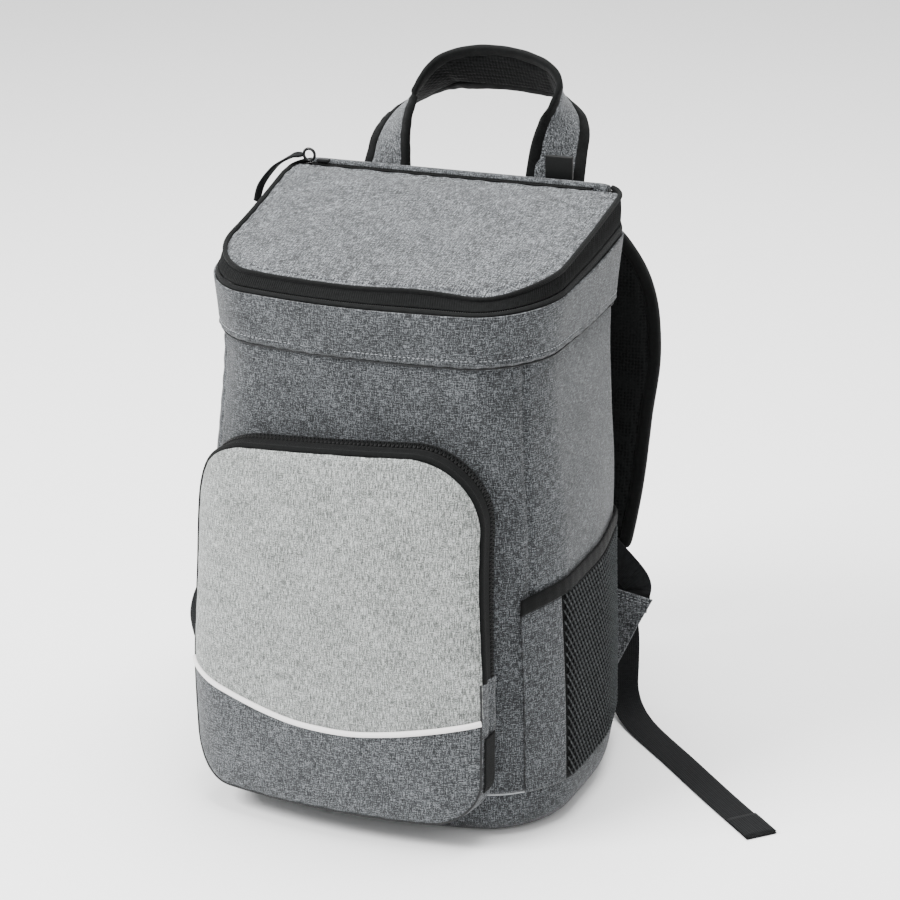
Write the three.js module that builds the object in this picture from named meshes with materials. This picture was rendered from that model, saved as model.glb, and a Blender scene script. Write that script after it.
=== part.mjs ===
// Cooler backpack, standing upright. The origin is on the floor under the middle of the bag,
// the front is towards -Y and +Z is up.
// All lengths are in millimetres.
import * as THREE from 'three';

// Body
const BODY_HALF_WIDTH = 128;
const BODY_FRONT = 93.4;
const BODY_BACK = 95;
const FRONT_BULGE = 17;
const SIDE_BULGE = 5;
const LEFT_TUCK = 9;
const FRONT_CORNER = 48.5;
const BACK_CORNER = 19;
const WALL = 6;
const COLLAR_HEIGHT = 356;
const COLLAR_DEPTH = 40;
const COLLAR_THICKNESS = 1.2;
const COLLAR_STANDOFF = 0.9;
const BASE_SEAM_HEIGHT = 34;
const BASE_EDGE = 22;
const BASE_FRONT_TUCK = -0.45;
const BACK_PAD_THICKNESS = 8;
const BACK_PAD_MARGIN = 7;
const GAP = 0.4;

// Lid and the zip band round it
const RIM_HEIGHT = COLLAR_HEIGHT + COLLAR_DEPTH;
const RIM_SLOPE = 0.07;
const BAND_HEIGHT = 12.5;
const BAND_THICKNESS = 2.4;
const LID_SLOPE = 0.17;
const LID_THICKNESS = 5;
const LID_CROWN = 3;
const HEM_DEPTH = 6;
const REAR_ZIP_WIDTH = 4;
const REAR_ZIP_HEIGHT = 1.6;
const REAR_ZIP_LEFT = 7 - BODY_HALF_WIDTH;
const REAR_ZIP_RIGHT = BODY_HALF_WIDTH - 20;

// Front pocket
const POCKET_LEFT = 1 - BODY_HALF_WIDTH;
const POCKET_RIGHT = BODY_HALF_WIDTH - 18;
const POCKET_BOTTOM = 19;
const POCKET_TOP = 301;
const POCKET_TILT = 9;
const POCKET_CROWN = 3;
const POCKET_TOP_CORNER = 62;
const POCKET_BOTTOM_CORNER = 38;
const POCKET_DEPTH = 28;
const POCKET_DOME = 5;
const POCKET_FLARE = 7;
const POCKET_CLOTH = 2;
const GUSSET_CLOTH = 1.6;
const ZIP_END_HEIGHT = 132;
const ZIP_CHAIN_WIDTH = 6;
const ZIP_INNER_TAPE = 9;
const EDGE_PIPING = 3.6;
const SMILE_HEIGHT = 87;
const SMILE_SAG = 25;
const PALE_PIPING = 4.4;
const LABEL_WIDTH = 16;
const LABEL_HEIGHT = 42;
const LABEL_TOP = 91;
const LABEL_CLOTH = 0.9;
const ZIP_CHAIN_RISE = 0.8;
const GUSSET_OVERLAP = 0.002;
const CORNER_SAG = 3.4;

// Zip sliders, rings and pulls
const SLIDER = 5;
const SLIDER_HEIGHT = 154;
const RING_RADIUS = 4.6;
const RING_WIRE = 1;
const PULL_LENGTH = 56;
const PULL_WIDTH = 8;
const PULL_THICKNESS = 2;

// Side pockets
const SIDE_POCKET_TOP = 0.514 * COLLAR_HEIGHT;
const SIDE_POCKET_RISE = 7;
const SIDE_BINDING = 12;
const SIDE_CLOTH = 1.2;
const SIDE_STANDOFF = 0.8;
const RIGHT_SEAM_STEP = 3.6;
const LEFT_SEAM_STEP = 3.35;
const MESH_STEP = 3.1;
const SIDE_END_STEP = 1.45;

// Handle
const HANDLE_HALF_SPAN = 75;
const HANDLE_FOOT = RIM_HEIGHT + 21;
const HANDLE_RISE = 96;
const HANDLE_LEAN = 30;
const HANDLE_WIDTH = 40;
const HANDLE_THICKNESS = 7;
const HANDLE_BINDING = 3.2;

// Shoulder straps
const STRAP_WIDTH = 60;
const STRAP_THICKNESS = 10;
const STRAP_BINDING = 3;
const STRAP_FOOT = 150;
const STRAP_RISE = RIM_HEIGHT + 4 - STRAP_FOOT;
const STRAP_REACH = BODY_HALF_WIDTH - 10;
const STRAP_BOW = 49;
const WEBBING_WIDTH = 25;
const WEBBING_THICKNESS = 1.6;
const TAIL_REACH = 182;
const TAIL_AHEAD = 180;
const TAIL_BEHIND = 36;
const LEFT_TAIL_REACH = 200;
const LOCK_PLACE = BODY_HALF_WIDTH - 22;
const LOCK_WIDTH = 34;
const LOCK_HEIGHT = 18;
const LOCK_THICKNESS = 3.6;
const LOCK_SLOT = 4;
const LOCK_DROP = 5;
const TAB_INNER = BODY_HALF_WIDTH - 48;
const TAB_REACH = 75;
const TAB_BOTTOM = 30;
const TAB_HEIGHT = 92;
const TAB_THICKNESS = 2.6;

// Keeper at the foot of the handle's right leg
const KEEPER_WIDTH = 22;
const KEEPER_HEIGHT = 18;
const KEEPER_BOTTOM = HANDLE_FOOT + 21;
const KEEPER_THICKNESS = 3;
const KEEPER_SETBACK = 5.8;

// Sections of the body wall: at is a share of the collar height, the rest are shares of the body's own sizes
const BODY_SECTIONS = [
  { at: 0.0, half: 1.13, back: 1.03, front: 1.085, bulge: 1.45, side: 1.0, corner: 1.6, tuck: 0 },
  { at: 0.3, half: 1.115, back: 1.02, front: 1.065, bulge: 1.35, side: 0.9, corner: 1.5, tuck: 0 },
  { at: 0.47, half: 1.09, back: 1.01, front: 1.045, bulge: 1.25, side: 0.8, corner: 1.3, tuck: 0 },
  { at: 0.65, half: 1.065, back: 1.02, front: 1.03, bulge: 1.15, side: 0.7, corner: 1.2, tuck: 0 },
  { at: 0.79, half: 1.025, back: 1.0, front: 1.01, bulge: 1.05, side: 0.5, corner: 1.1, tuck: 0 },
  { at: 1.0, half: 1.0, back: 0.99, front: 1.0, bulge: 1.0, side: 0.35, corner: 1.0, tuck: 0.35 },
  { at: 1.12, half: 1.05, back: 1.03, front: 1.043, bulge: 1.0, side: 0.3, corner: 1.0, tuck: 1.0 },
];
const LID_SECTION = { half: 1.033, back: 1.03, front: 0.948, bulge: 1.0, side: 0.3, corner: 1.0, tuck: 1.0 };

// Centre line of the handle from its left foot to its right foot: along is a share of the half span, rise and
// lean of their sizes; turn and tip are the degrees by which the strap's width has turned and tipped there
const HANDLE_STATIONS = [
  { along: -0.9, rise: 0.0, lean: 0.1, turn: 2, tip: 0 },
  { along: -0.88, rise: 0.24, lean: 0.17, turn: 16, tip: 0 },
  { along: -0.84, rise: 0.48, lean: 0.31, turn: 32, tip: 4 },
  { along: -0.8, rise: 0.63, lean: 0.51, turn: 47, tip: 12 },
  { along: -0.74, rise: 0.73, lean: 0.7, turn: 52, tip: 28 },
  { along: -0.66, rise: 0.8, lean: 0.92, turn: 60, tip: 46 },
  { along: -0.46, rise: 0.89, lean: 1.06, turn: 80, tip: 66 },
  { along: 0.04, rise: 0.96, lean: 1.08, turn: 92, tip: 76 },
  { along: 0.4, rise: 0.98, lean: 0.97, turn: 86, tip: 70 },
  { along: 0.66, rise: 0.94, lean: 0.94, turn: 75, tip: 60 },
  { along: 0.84, rise: 0.86, lean: 0.9, turn: 70, tip: 44 },
  { along: 0.93, rise: 0.77, lean: 0.82, turn: 83, tip: 28 },
  { along: 0.97, rise: 0.68, lean: 0.7, turn: 103, tip: 22 },
  { along: 0.97, rise: 0.57, lean: 0.57, turn: 121, tip: 20 },
  { along: 0.93, rise: 0.39, lean: 0.4, turn: 142, tip: 18 },
  { along: 0.92, rise: 0.12, lean: 0.16, turn: 165, tip: 8 },
  { along: 0.92, rise: 0.0, lean: 0.1, turn: 174, tip: 0 },
];

// Centre line of a shoulder strap from its top end to its lower end: out is a share of STRAP_REACH,
// rise of STRAP_RISE, bow of STRAP_BOW, wide of STRAP_WIDTH
const STRAP_STATIONS = [
  { out: 0.54, rise: 1.0, bow: -0.04, wide: 1.0 },
  { out: 0.54, rise: 1.0, bow: 0.4, wide: 1.0 },
  { out: 0.63, rise: 0.93, bow: 0.85, wide: 1.0 },
  { out: 0.85, rise: 0.77, bow: 1.0, wide: 1.0 },
  { out: 0.91, rise: 0.58, bow: 1.0, wide: 1.0 },
  { out: 0.885, rise: 0.38, bow: 0.92, wide: 0.95 },
  { out: 0.87, rise: 0.17, bow: 0.75, wide: 0.9 },
  { out: 0.85, rise: 0.0, bow: 0.55, wide: 0.8 },
];

// Route of the right webbing tail from its lock down to the floor and forwards to its end:
// out, ahead and height are shares of the tail's reaches and the lock's height; turn is its width's heading
const RIGHT_TAIL = [
  { out: 0.0, ahead: 0.0, height: 1.0, turn: 0 },
  { out: 0.04, ahead: 0.0, height: 0.78, turn: 12 },
  { out: 0.08, ahead: 0.01, height: 0.52, turn: 28 },
  { out: 0.09, ahead: 0.02, height: 0.3, turn: 38 },
  { out: 0.1, ahead: 0.05, height: 0.13, turn: 42 },
  { out: 0.15, ahead: 0.12, height: 0.04, turn: 43 },
  { out: 0.26, ahead: 0.25, height: 0.008, turn: 43 },
  { out: 0.48, ahead: 0.47, height: 0.0, turn: 43 },
  { out: 0.74, ahead: 0.74, height: 0.0, turn: 43 },
  { out: 1.0, ahead: 1.0, height: 0.0, turn: 43 },
];

// Route of the left tail, which lies behind the bag
const LEFT_TAIL = [
  { out: 0.0, ahead: 0.0, height: 1.0, turn: 20 },
  { out: -0.02, ahead: 0.02, height: 0.75, turn: 50 },
  { out: -0.03, ahead: 0.1, height: 0.48, turn: 75 },
  { out: 0.0, ahead: 0.2, height: 0.24, turn: 85 },
  { out: 0.07, ahead: 0.4, height: 0.07, turn: 95 },
  { out: 0.18, ahead: 0.6, height: 0.01, turn: 98 },
  { out: 0.4, ahead: 0.8, height: 0.0, turn: 98 },
  { out: 0.7, ahead: 0.95, height: 0.0, turn: 95 },
  { out: 1.0, ahead: 1.0, height: 0.0, turn: 92 },
];

// Corners of an anchor tab: out is a share of its reach from its inner edge, rise of its height
const TAB_CORNERS = [
  { out: 0.0, rise: 0.0 },
  { out: 0.62, rise: 0.2 },
  { out: 0.83, rise: 0.58 },
  { out: 1.0, rise: 0.86 },
  { out: 0.5, rise: 0.93 },
  { out: 0.0, rise: 1.0 },
];

// How the pulls hang: shares of the pull's length to the left, forwards and down
const REAR_PULL_STATIONS = [
  { out: 0.0, ahead: 0.0, down: 0.0, wide: 0.7 },
  { out: 0.12, ahead: 0.1, down: 0.02, wide: 1.0 },
  { out: 0.3, ahead: 0.25, down: 0.14, wide: 1.0 },
  { out: 0.44, ahead: 0.4, down: 0.36, wide: 0.95 },
  { out: 0.47, ahead: 0.52, down: 0.58, wide: 0.8 },
];
const POCKET_PULL_STATIONS = [
  { out: 0.0, ahead: 0.0, down: 0.0, wide: 0.8 },
  { out: 0.09, ahead: 0.07, down: 0.24, wide: 1.0 },
  { out: 0.12, ahead: 0.14, down: 0.5, wide: 1.0 },
  { out: 0.07, ahead: 0.16, down: 0.78, wide: 1.0 },
  { out: -0.01, ahead: 0.16, down: 1.0, wide: 0.9 },
];

const CORNER_STEPS = 5;
const SIDE_STEPS = 6;
const FRONT_STEPS = 5;
const BACK_STEPS = 3;

const bag = new THREE.Group();

// Shares and mixes
const mix = (a, b, share) => a + (b - a) * share;
const clamp = (value) => Math.min(1, Math.max(0, value));
const smooth = (value) => clamp(value) ** 2 * (3 - 2 * clamp(value));

function mixRows(a, b, share) {
  const row = {};
  for (const key of Object.keys(a)) row[key] = mix(a[key], b[key], share);
  return row;
}

function rowAt(table, key, value) {
  let i = 0;
  while (i < table.length - 2 && table[i + 1][key] < value) i += 1;
  const share = (value - table[i][key]) / (table[i + 1][key] - table[i][key]);
  return mixRows(table[i], table[i + 1], clamp(share));
}

// A closed solid through loops with equally many points; ends are capped with strips across each end loop
function loft(loops, ring = false) {
  const count = loops[0].length;
  const positions = loops.flat().flatMap((p) => [p.x, p.y, p.z]);
  const faces = [];
  const bands = ring ? loops.length : loops.length - 1;
  for (let k = 0; k < bands; k += 1) {
    const next = (k + 1) % loops.length;
    for (let i = 0; i < count; i += 1) {
      const j = (i + 1) % count;
      const corners = [k * count + i, k * count + j, next * count + j, next * count + i];
      faces.push(corners[0], corners[1], corners[2], corners[0], corners[2], corners[3]);
    }
  }
  if (!ring) {
    const last = (loops.length - 1) * count;
    for (let i = 0; i < count / 2 - 1; i += 1) {
      const quad = [i, i + 1, count - 2 - i, count - 1 - i];
      faces.push(quad[0], quad[2], quad[1], quad[0], quad[3], quad[2]);
      const far = quad.map((index) => last + index);
      faces.push(far[0], far[1], far[2], far[0], far[2], far[3]);
    }
  }
  return outward(positions, faces);
}

// Turns every face over if the solid came out inside out
function outward(positions, faces) {
  const corner = (index) => new THREE.Vector3().fromArray(positions, index * 3);
  let volume = 0;
  for (let i = 0; i < faces.length; i += 3) {
    const [a, b, c] = [corner(faces[i]), corner(faces[i + 1]), corner(faces[i + 2])];
    volume += a.dot(b.cross(c)) / 6;
  }
  const geometry = new THREE.BufferGeometry();
  geometry.setAttribute('position', new THREE.Float32BufferAttribute(positions, 3));
  if (volume < 0) faces.reverse();
  geometry.setIndex(faces);
  return geometry;
}

const finishes = {
  midHeather: { color: 0x6f7275, roughness: 0.95, metalness: 0 },
  lidHeather: { color: 0x85888a, roughness: 0.95, metalness: 0 },
  darkHeather: { color: 0x5e6164, roughness: 0.95, metalness: 0 },
  paleHeather: { color: 0xb9bcbb, roughness: 0.95, metalness: 0 },
  blackWebbing: { color: 0x1e1f20, roughness: 0.85, metalness: 0 },
  blackMesh: { color: 0x2a2b2c, roughness: 0.9, metalness: 0 },
  blackPlastic: { color: 0x151617, roughness: 0.4, metalness: 0 },
  paleTrim: { color: 0xe8e6e6, roughness: 0.5, metalness: 0 },
};

function piece(name, geometry, finish) {
  const mesh = new THREE.Mesh(geometry, new THREE.MeshStandardMaterial(finishes[finish]));
  mesh.name = name;
  bag.add(mesh);
  return mesh;
}

// Plan outline. The step runs anticlockwise seen from above: 0 back middle, 1 to 2 right back corner,
// 3 to 4 right front corner, 5 front middle, 6 to 7 left front corner, 8 to 9 left back corner,
// 10 back middle.
// The soft left front corner is tucked in near the top
function planPoint(step, section, offset = 0, inset = 0) {
  const turn = ((step % 10) + 10) % 10;
  const left = turn > 5;
  const t = left ? 10 - turn : turn;
  const half = BODY_HALF_WIDTH * section.half + offset;
  const front = BODY_FRONT * section.front + offset - inset;
  const back = BODY_BACK + offset;
  const backRadius = BACK_CORNER * section.corner + offset;
  const frontRadius = FRONT_CORNER + offset;
  let x;
  let y;
  if (t <= 1) {
    x = mix(0, half - backRadius, t);
    y = back;
  } else if (t <= 2) {
    const angle = ((2 - t) * Math.PI) / 2;
    x = half - backRadius + backRadius * Math.cos(angle);
    y = back - backRadius + backRadius * Math.sin(angle);
  } else if (t <= 3) {
    x = half;
    y = mix(back - backRadius, frontRadius - front, t - 2);
  } else if (t <= 4) {
    const angle = ((t - 3) * Math.PI) / 2;
    x = half - frontRadius + frontRadius * Math.cos(angle);
    y = frontRadius - front - frontRadius * Math.sin(angle);
  } else {
    x = mix(half - frontRadius, 0, t - 4);
    y = -front;
  }
  const ahead = clamp((back - y) / (back + front));
  const taper = 1 + (section.back / section.half - 1) * (1 - smooth(ahead * 2));
  const swell = SIDE_BULGE * section.side * 4 * ahead * (1 - ahead) * (x / half);
  const bulge = FRONT_BULGE * section.bulge * (1 - (x / half) ** 2) * ahead;
  x = x * taper + swell;
  if (left) x -= LEFT_TUCK * section.tuck * Math.sin(Math.PI * clamp((4 - t) / 1.9));
  return { x: left ? -x : x, y: y - bulge };
}

function bodyPoint(step, z, offset = 0) {
  const section = rowAt(BODY_SECTIONS, 'at', z / COLLAR_HEIGHT);
  const { x, y } = planPoint(step, section, offset);
  return new THREE.Vector3(x, y, z);
}

// Steps once round the outline, mirrored about the middle plane
function roundSteps() {
  const half = [];
  const spans = [BACK_STEPS, CORNER_STEPS, SIDE_STEPS, CORNER_STEPS, FRONT_STEPS];
  spans.forEach((count, span) => {
    for (let i = 0; i < count; i += 1) half.push(span + (i + 0.5) / count);
  });
  return [...half, ...half.map((step) => 10 - step).reverse()];
}

// Steps along a stretch of the outline, with the stretch's own ends
function stretchSteps(from, to) {
  const inner = roundSteps()
    .flatMap((step) => [step, step - 10])
    .filter((step) => step > from + 0.05 && step < to - 0.05)
    .sort((a, b) => a - b);
  return [from, ...inner, to];
}

const ROUND = roundSteps();

// Front surface of the body at a place across and up
function frontY(x, z) {
  const section = rowAt(BODY_SECTIONS, 'at', z / COLLAR_HEIGHT);
  const half = BODY_HALF_WIDTH * section.half;
  const front = BODY_FRONT * section.front;
  const past = Math.max(0, Math.abs(x) - (half - FRONT_CORNER));
  const y = FRONT_CORNER - front - Math.sqrt(Math.max(0, FRONT_CORNER ** 2 - past ** 2));
  const ahead = clamp((BODY_BACK - y) / (BODY_BACK + front));
  return y - FRONT_BULGE * section.bulge * (1 - (x / half) ** 2) * ahead;
}

// Levels of the section table between two heights, with both heights
function levelsBetween(low, high) {
  const inner = BODY_SECTIONS.map((row) => row.at * COLLAR_HEIGHT)
    .filter((z) => z > low + 2 && z < high - 2);
  return [low, ...inner, high];
}

// Base tray: flat floor, rolled edge, open top
function baseTray() {
  const tuck = BASE_EDGE * BASE_FRONT_TUCK;
  const loops = [];
  for (const degrees of [90, 60, 30, 0]) {
    const angle = THREE.MathUtils.degToRad(degrees);
    const shrink = BASE_EDGE * (1 - Math.cos(angle));
    const z = BASE_EDGE * (1 - Math.sin(angle));
    loops.push(trayLoop(z, -shrink, tuck * (1 - Math.cos(angle))));
  }
  loops.push(trayLoop(BASE_SEAM_HEIGHT, 0, 0));
  loops.push(trayLoop(BASE_SEAM_HEIGHT, -WALL, 0));
  loops.push(trayLoop(BASE_EDGE, -WALL - 1, 0));
  loops.push(trayLoop(WALL, -BASE_EDGE, 0));
  return loft(loops);
}

function trayLoop(z, offset, inset) {
  const section = rowAt(BODY_SECTIONS, 'at', z / COLLAR_HEIGHT);
  return ROUND.map((step) => {
    const { x, y } = planPoint(step, section, offset, inset);
    return new THREE.Vector3(x, y, z);
  });
}

const rimAt = (y) => RIM_HEIGHT + RIM_SLOPE * (y + BODY_FRONT);
const lidEdgeAt = (y) => RIM_HEIGHT + BAND_HEIGHT + LID_SLOPE * (y + BODY_FRONT);

// Body wall: an open tub wall from the base seam to the sloping rim
function rimPoint(step, offset) {
  const section = BODY_SECTIONS[BODY_SECTIONS.length - 1];
  const { x, y } = planPoint(step, section, offset);
  return new THREE.Vector3(x, y, rimAt(y));
}

function bodyWall() {
  const levels = levelsBetween(BASE_SEAM_HEIGHT + GAP, COLLAR_HEIGHT);
  const outside = levels.map((z) => ROUND.map((step) => bodyPoint(step, z)));
  const inside = levels.map((z) => ROUND.map((step) => bodyPoint(step, z, -WALL)));
  const rimOut = ROUND.map((step) => rimPoint(step, 0));
  const rimIn = ROUND.map((step) => rimPoint(step, -WALL));
  return loft([...outside, rimOut, rimIn, ...inside.reverse()], true);
}

// A skin over the body wall between two steps; its lower and upper edges are functions of the step
function bodySkin(from, to, lowAt, highAt, inner, outer) {
  const steps = stretchSteps(from, to);
  const highestLow = Math.max(...steps.map(lowAt));
  const lowestHigh = Math.min(...steps.map(highAt));
  const between = levelsBetween(highestLow, lowestHigh).slice(1, -1);
  const loops = steps.map((step) => {
    const levels = [lowAt(step), ...between, highAt(step)];
    return [
      ...levels.map((z) => bodyPoint(step, z, outer)),
      ...levels.map((z) => bodyPoint(step, z, inner)).reverse(),
    ];
  });
  return loft(loops);
}

// Collar: the folded cloth above the collar seam, round the front and sides
function collarPanel() {
  const loops = stretchSteps(1.5, 8.5).map((step) => [
    bodyPoint(step, COLLAR_HEIGHT, COLLAR_STANDOFF + COLLAR_THICKNESS),
    rimPoint(step, COLLAR_STANDOFF + COLLAR_THICKNESS),
    rimPoint(step, COLLAR_STANDOFF),
    bodyPoint(step, COLLAR_HEIGHT, COLLAR_STANDOFF),
  ]);
  return loft(loops);
}

// A place on the band between the rim and the lid's edge; up is 0 at the rim and 1 at the lid
function bandPoint(step, up, offset) {
  const section = mixRows(BODY_SECTIONS[BODY_SECTIONS.length - 1], { at: 0, ...LID_SECTION }, up);
  const { x, y } = planPoint(step, section, offset);
  return new THREE.Vector3(x, y, mix(rimAt(y) + GAP, lidEdgeAt(y), up));
}

function bandStrip(from, to, low, high, inner, outer) {
  const loops = stretchSteps(from, to).map((step) => [
    bandPoint(step, low, outer),
    bandPoint(step, high, outer),
    bandPoint(step, high, inner),
    bandPoint(step, low, inner),
  ]);
  return loft(loops);
}

const BAND_FROM = 1.3;
const BAND_TO = 10 - BAND_FROM;
const BAND_INNER = -1.2;
const STRIP_SHARE = 0.24;
const PIPING_SHARE = 0.11;
const SHARE_GAP = 0.03;
const bandRun = [BAND_FROM, BAND_TO];
const LID_BACK = BODY_BACK - HEM_DEPTH - REAR_ZIP_WIDTH - 2 * GAP;

// Lid: a padded panel inside the band's upper edge, cut straight along the rear zip
function lidLoop(scale, lift) {
  return ROUND.map((step) => {
    const { x, y } = planPoint(step, LID_SECTION, -GAP - BAND_THICKNESS / 2);
    const cut = Math.min(y, LID_BACK);
    return new THREE.Vector3(x * scale, cut * scale, lidEdgeAt(cut * scale) + lift);
  });
}

function lidPanel() {
  return loft([
    lidLoop(0.5, -LID_THICKNESS),
    lidLoop(1.0, -LID_THICKNESS),
    lidLoop(1.0, 0),
    lidLoop(0.93, LID_CROWN * 0.6),
    lidLoop(0.75, LID_CROWN * 0.9),
    lidLoop(0.45, LID_CROWN),
  ]);
}

// A box by its corners, turned to follow the lid's slope
function lidBox(left, right, near, far, bottom, top) {
  const loops = [left, right].map((x) => [
    new THREE.Vector3(x, near, lidEdgeAt(near) + bottom),
    new THREE.Vector3(x, near, lidEdgeAt(near) + top),
    new THREE.Vector3(x, far, lidEdgeAt(far) + top),
    new THREE.Vector3(x, far, lidEdgeAt(far) + bottom),
  ]);
  return loft(loops);
}

// Front pocket outline seen from the front
function pocketPath() {
  const path = new THREE.Path();
  path.arcLengthDivisions = 2000;
  const [l, r, b, t] = [POCKET_LEFT, POCKET_RIGHT, POCKET_BOTTOM, POCKET_TOP];
  const [bc, tc] = [POCKET_BOTTOM_CORNER, POCKET_TOP_CORNER];
  path.moveTo((l + r) / 2, b);
  path.lineTo(r - bc, b);
  path.absarc(r - bc, b + bc, bc, -Math.PI / 2, 0);
  path.lineTo(r, t - tc);
  path.absarc(r - tc, t - tc, tc, 0, Math.PI / 2);
  path.lineTo(l + tc, t);
  path.absarc(l + tc, t - tc, tc, Math.PI / 2, Math.PI);
  path.lineTo(l, b + bc);
  path.absarc(l + bc, b + bc, bc, Math.PI, Math.PI * 1.5);
  path.closePath();
  return path;
}

const OUTLINE = pocketPath();
const POCKET_MIDDLE = (POCKET_LEFT + POCKET_RIGHT) / 2;
const POCKET_HALF = (POCKET_RIGHT - POCKET_LEFT) / 2;

// The soft pocket's top leans up to the right and is slightly crowned
function pocketSlump(x, z) {
  const across = (x - POCKET_MIDDLE) / POCKET_HALF;
  const up = clamp((z - POCKET_BOTTOM) / (POCKET_TOP - POCKET_BOTTOM));
  return z + up ** 3 * (POCKET_TILT * across + POCKET_CROWN * (1 - across ** 2));
}

// A place on the pocket's side wall, which flares forwards: along is a share of the outline, deep is out of
// the body's surface, offset is outward from the wall
function gussetPoint(along, deep, offset) {
  const share = (along + 1) % 1;
  const at = OUTLINE.getPointAt(share);
  const tangent = OUTLINE.getTangentAt(share);
  const out = offset - POCKET_FLARE * (1 - clamp(deep / POCKET_DEPTH));
  const x = at.x + tangent.y * out;
  const z = pocketSlump(at.x, at.y) - tangent.x * out;
  return new THREE.Vector3(x, frontY(x, z) - deep, z);
}

function gussetStrip(from, to, steps, near, far, inner, outer) {
  const loops = [];
  for (let i = 0; i <= steps; i += 1) {
    const along = mix(from, to, i / steps);
    loops.push([
      gussetPoint(along, near, outer),
      gussetPoint(along, far, outer),
      gussetPoint(along, far, inner),
      gussetPoint(along, near, inner),
    ]);
  }
  return loft(loops);
}

// Share of the outline at which a side of the pocket passes a height
function outlineShare(height, from, to) {
  let [low, high] = [from, to];
  for (let i = 0; i < 30; i += 1) {
    const middle = (low + high) / 2;
    const below = OUTLINE.getPointAt(middle).y < height;
    if (below) low = middle;
    else high = middle;
  }
  return low;
}

// The right side is climbed in the first half of the outline, the left side comes down in the second
const ZIP_FROM = outlineShare(ZIP_END_HEIGHT, 0.01, 0.5);
const ZIP_TO = outlineShare(ZIP_END_HEIGHT, 0.99, 0.5);

const smileAt = (across) => SMILE_HEIGHT + SMILE_SAG * across ** 2;

function outlineEnds(across) {
  const x = POCKET_MIDDLE + POCKET_HALF * across;
  const inTop = Math.max(0, Math.abs(x - POCKET_MIDDLE) - (POCKET_HALF - POCKET_TOP_CORNER));
  const inBottom = Math.max(0, Math.abs(x - POCKET_MIDDLE) - (POCKET_HALF - POCKET_BOTTOM_CORNER));
  const top = POCKET_TOP - POCKET_TOP_CORNER + Math.sqrt(Math.max(0, POCKET_TOP_CORNER ** 2 - inTop ** 2));
  const drop = Math.sqrt(Math.max(0, POCKET_BOTTOM_CORNER ** 2 - inBottom ** 2));
  return { top, bottom: POCKET_BOTTOM + POCKET_BOTTOM_CORNER - drop };
}

const EDGE_MARGIN = GUSSET_CLOTH + GAP + CORNER_SAG;

// Face of the pocket: the body's own curve carried forward, domed towards the middle
function facePoint(across, z, forward) {
  const x = POCKET_MIDDLE + POCKET_HALF * across;
  const slumped = pocketSlump(x, z);
  const up = (2 * (z - POCKET_BOTTOM)) / (POCKET_TOP - POCKET_BOTTOM) - 1;
  const dome = POCKET_DOME * (1 - across ** 4) * (1 - up ** 4);
  return new THREE.Vector3(x, frontY(x, slumped) - POCKET_DEPTH - dome - forward, slumped);
}

function pocketFace(columns, rows, lowAt, highAt) {
  const reach = 1 - EDGE_MARGIN / POCKET_HALF;
  const loops = [];
  for (let i = 0; i <= columns; i += 1) {
    const across = reach * Math.sin(((2 * i) / columns - 1) * (Math.PI / 2));
    const [low, high] = [lowAt(across), highAt(across)];
    const levels = Array.from({ length: rows + 1 }, (_, k) => mix(low, high, k / rows));
    loops.push([
      ...levels.map((z) => facePoint(across, z, POCKET_CLOTH)),
      ...levels.map((z) => facePoint(across, z, 0)).reverse(),
    ]);
  }
  return loft(loops);
}

const panelTop = (across) => outlineEnds(across).top - EDGE_MARGIN;
const yokeBottom = (across) => outlineEnds(across).bottom + EDGE_MARGIN;
const SEAM_HALF = PALE_PIPING / 2 + GAP;

// A strip of round trim through places on the pocket's face
function roundTrim(places, radius, sides) {
  const curve = new THREE.CatmullRomCurve3(places);
  const ring = Array.from({ length: sides }, (_, k) => {
    const angle = ((k + 0.5) / sides) * Math.PI * 2;
    return new THREE.Vector2(radius * Math.cos(angle), radius * Math.sin(angle));
  });
  const steps = Math.max(6, places.length - 1);
  return new THREE.ExtrudeGeometry(new THREE.Shape(ring), { extrudePath: curve, steps, bevelEnabled: false });
}

// A band of flat or padded cloth: stations hold its centre, its width direction and its width
function band(stations, thickness, edge = 1) {
  const loops = stations.map((station, i) => {
    const before = stations[Math.max(0, i - 1)].centre;
    const after = stations[Math.min(stations.length - 1, i + 1)].centre;
    const along = after.clone().sub(before).normalize();
    const normal = along.clone().cross(station.across).normalize();
    const across = normal.clone().cross(along).normalize();
    const at = (u, v) => station.centre
      .clone()
      .addScaledVector(across, u * station.width)
      .addScaledVector(normal, v * thickness);
    if (edge === 1) return [at(-0.5, -0.5), at(0.5, -0.5), at(0.5, 0.5), at(-0.5, 0.5)];
    return [
      at(-0.5, -0.5 * edge),
      at(-0.35, -0.5),
      at(0.35, -0.5),
      at(0.5, -0.5 * edge),
      at(0.5, 0.5 * edge),
      at(0.35, 0.5),
      at(-0.35, 0.5),
      at(-0.5, 0.5 * edge),
    ];
  });
  return loft(loops);
}

// Edge binding beside a band, on its low side (-1) or high side (1)
function edgeStations(stations, side, size) {
  return stations.map((station, i) => {
    const before = stations[Math.max(0, i - 1)].centre;
    const after = stations[Math.min(stations.length - 1, i + 1)].centre;
    const along = after.clone().sub(before).normalize();
    const normal = along.clone().cross(station.across).normalize();
    const across = normal.clone().cross(along).normalize();
    const reach = side * (station.width / 2 + size / 2 + 2 * GAP);
    return { centre: station.centre.clone().addScaledVector(across, reach), across, width: size };
  });
}

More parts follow.
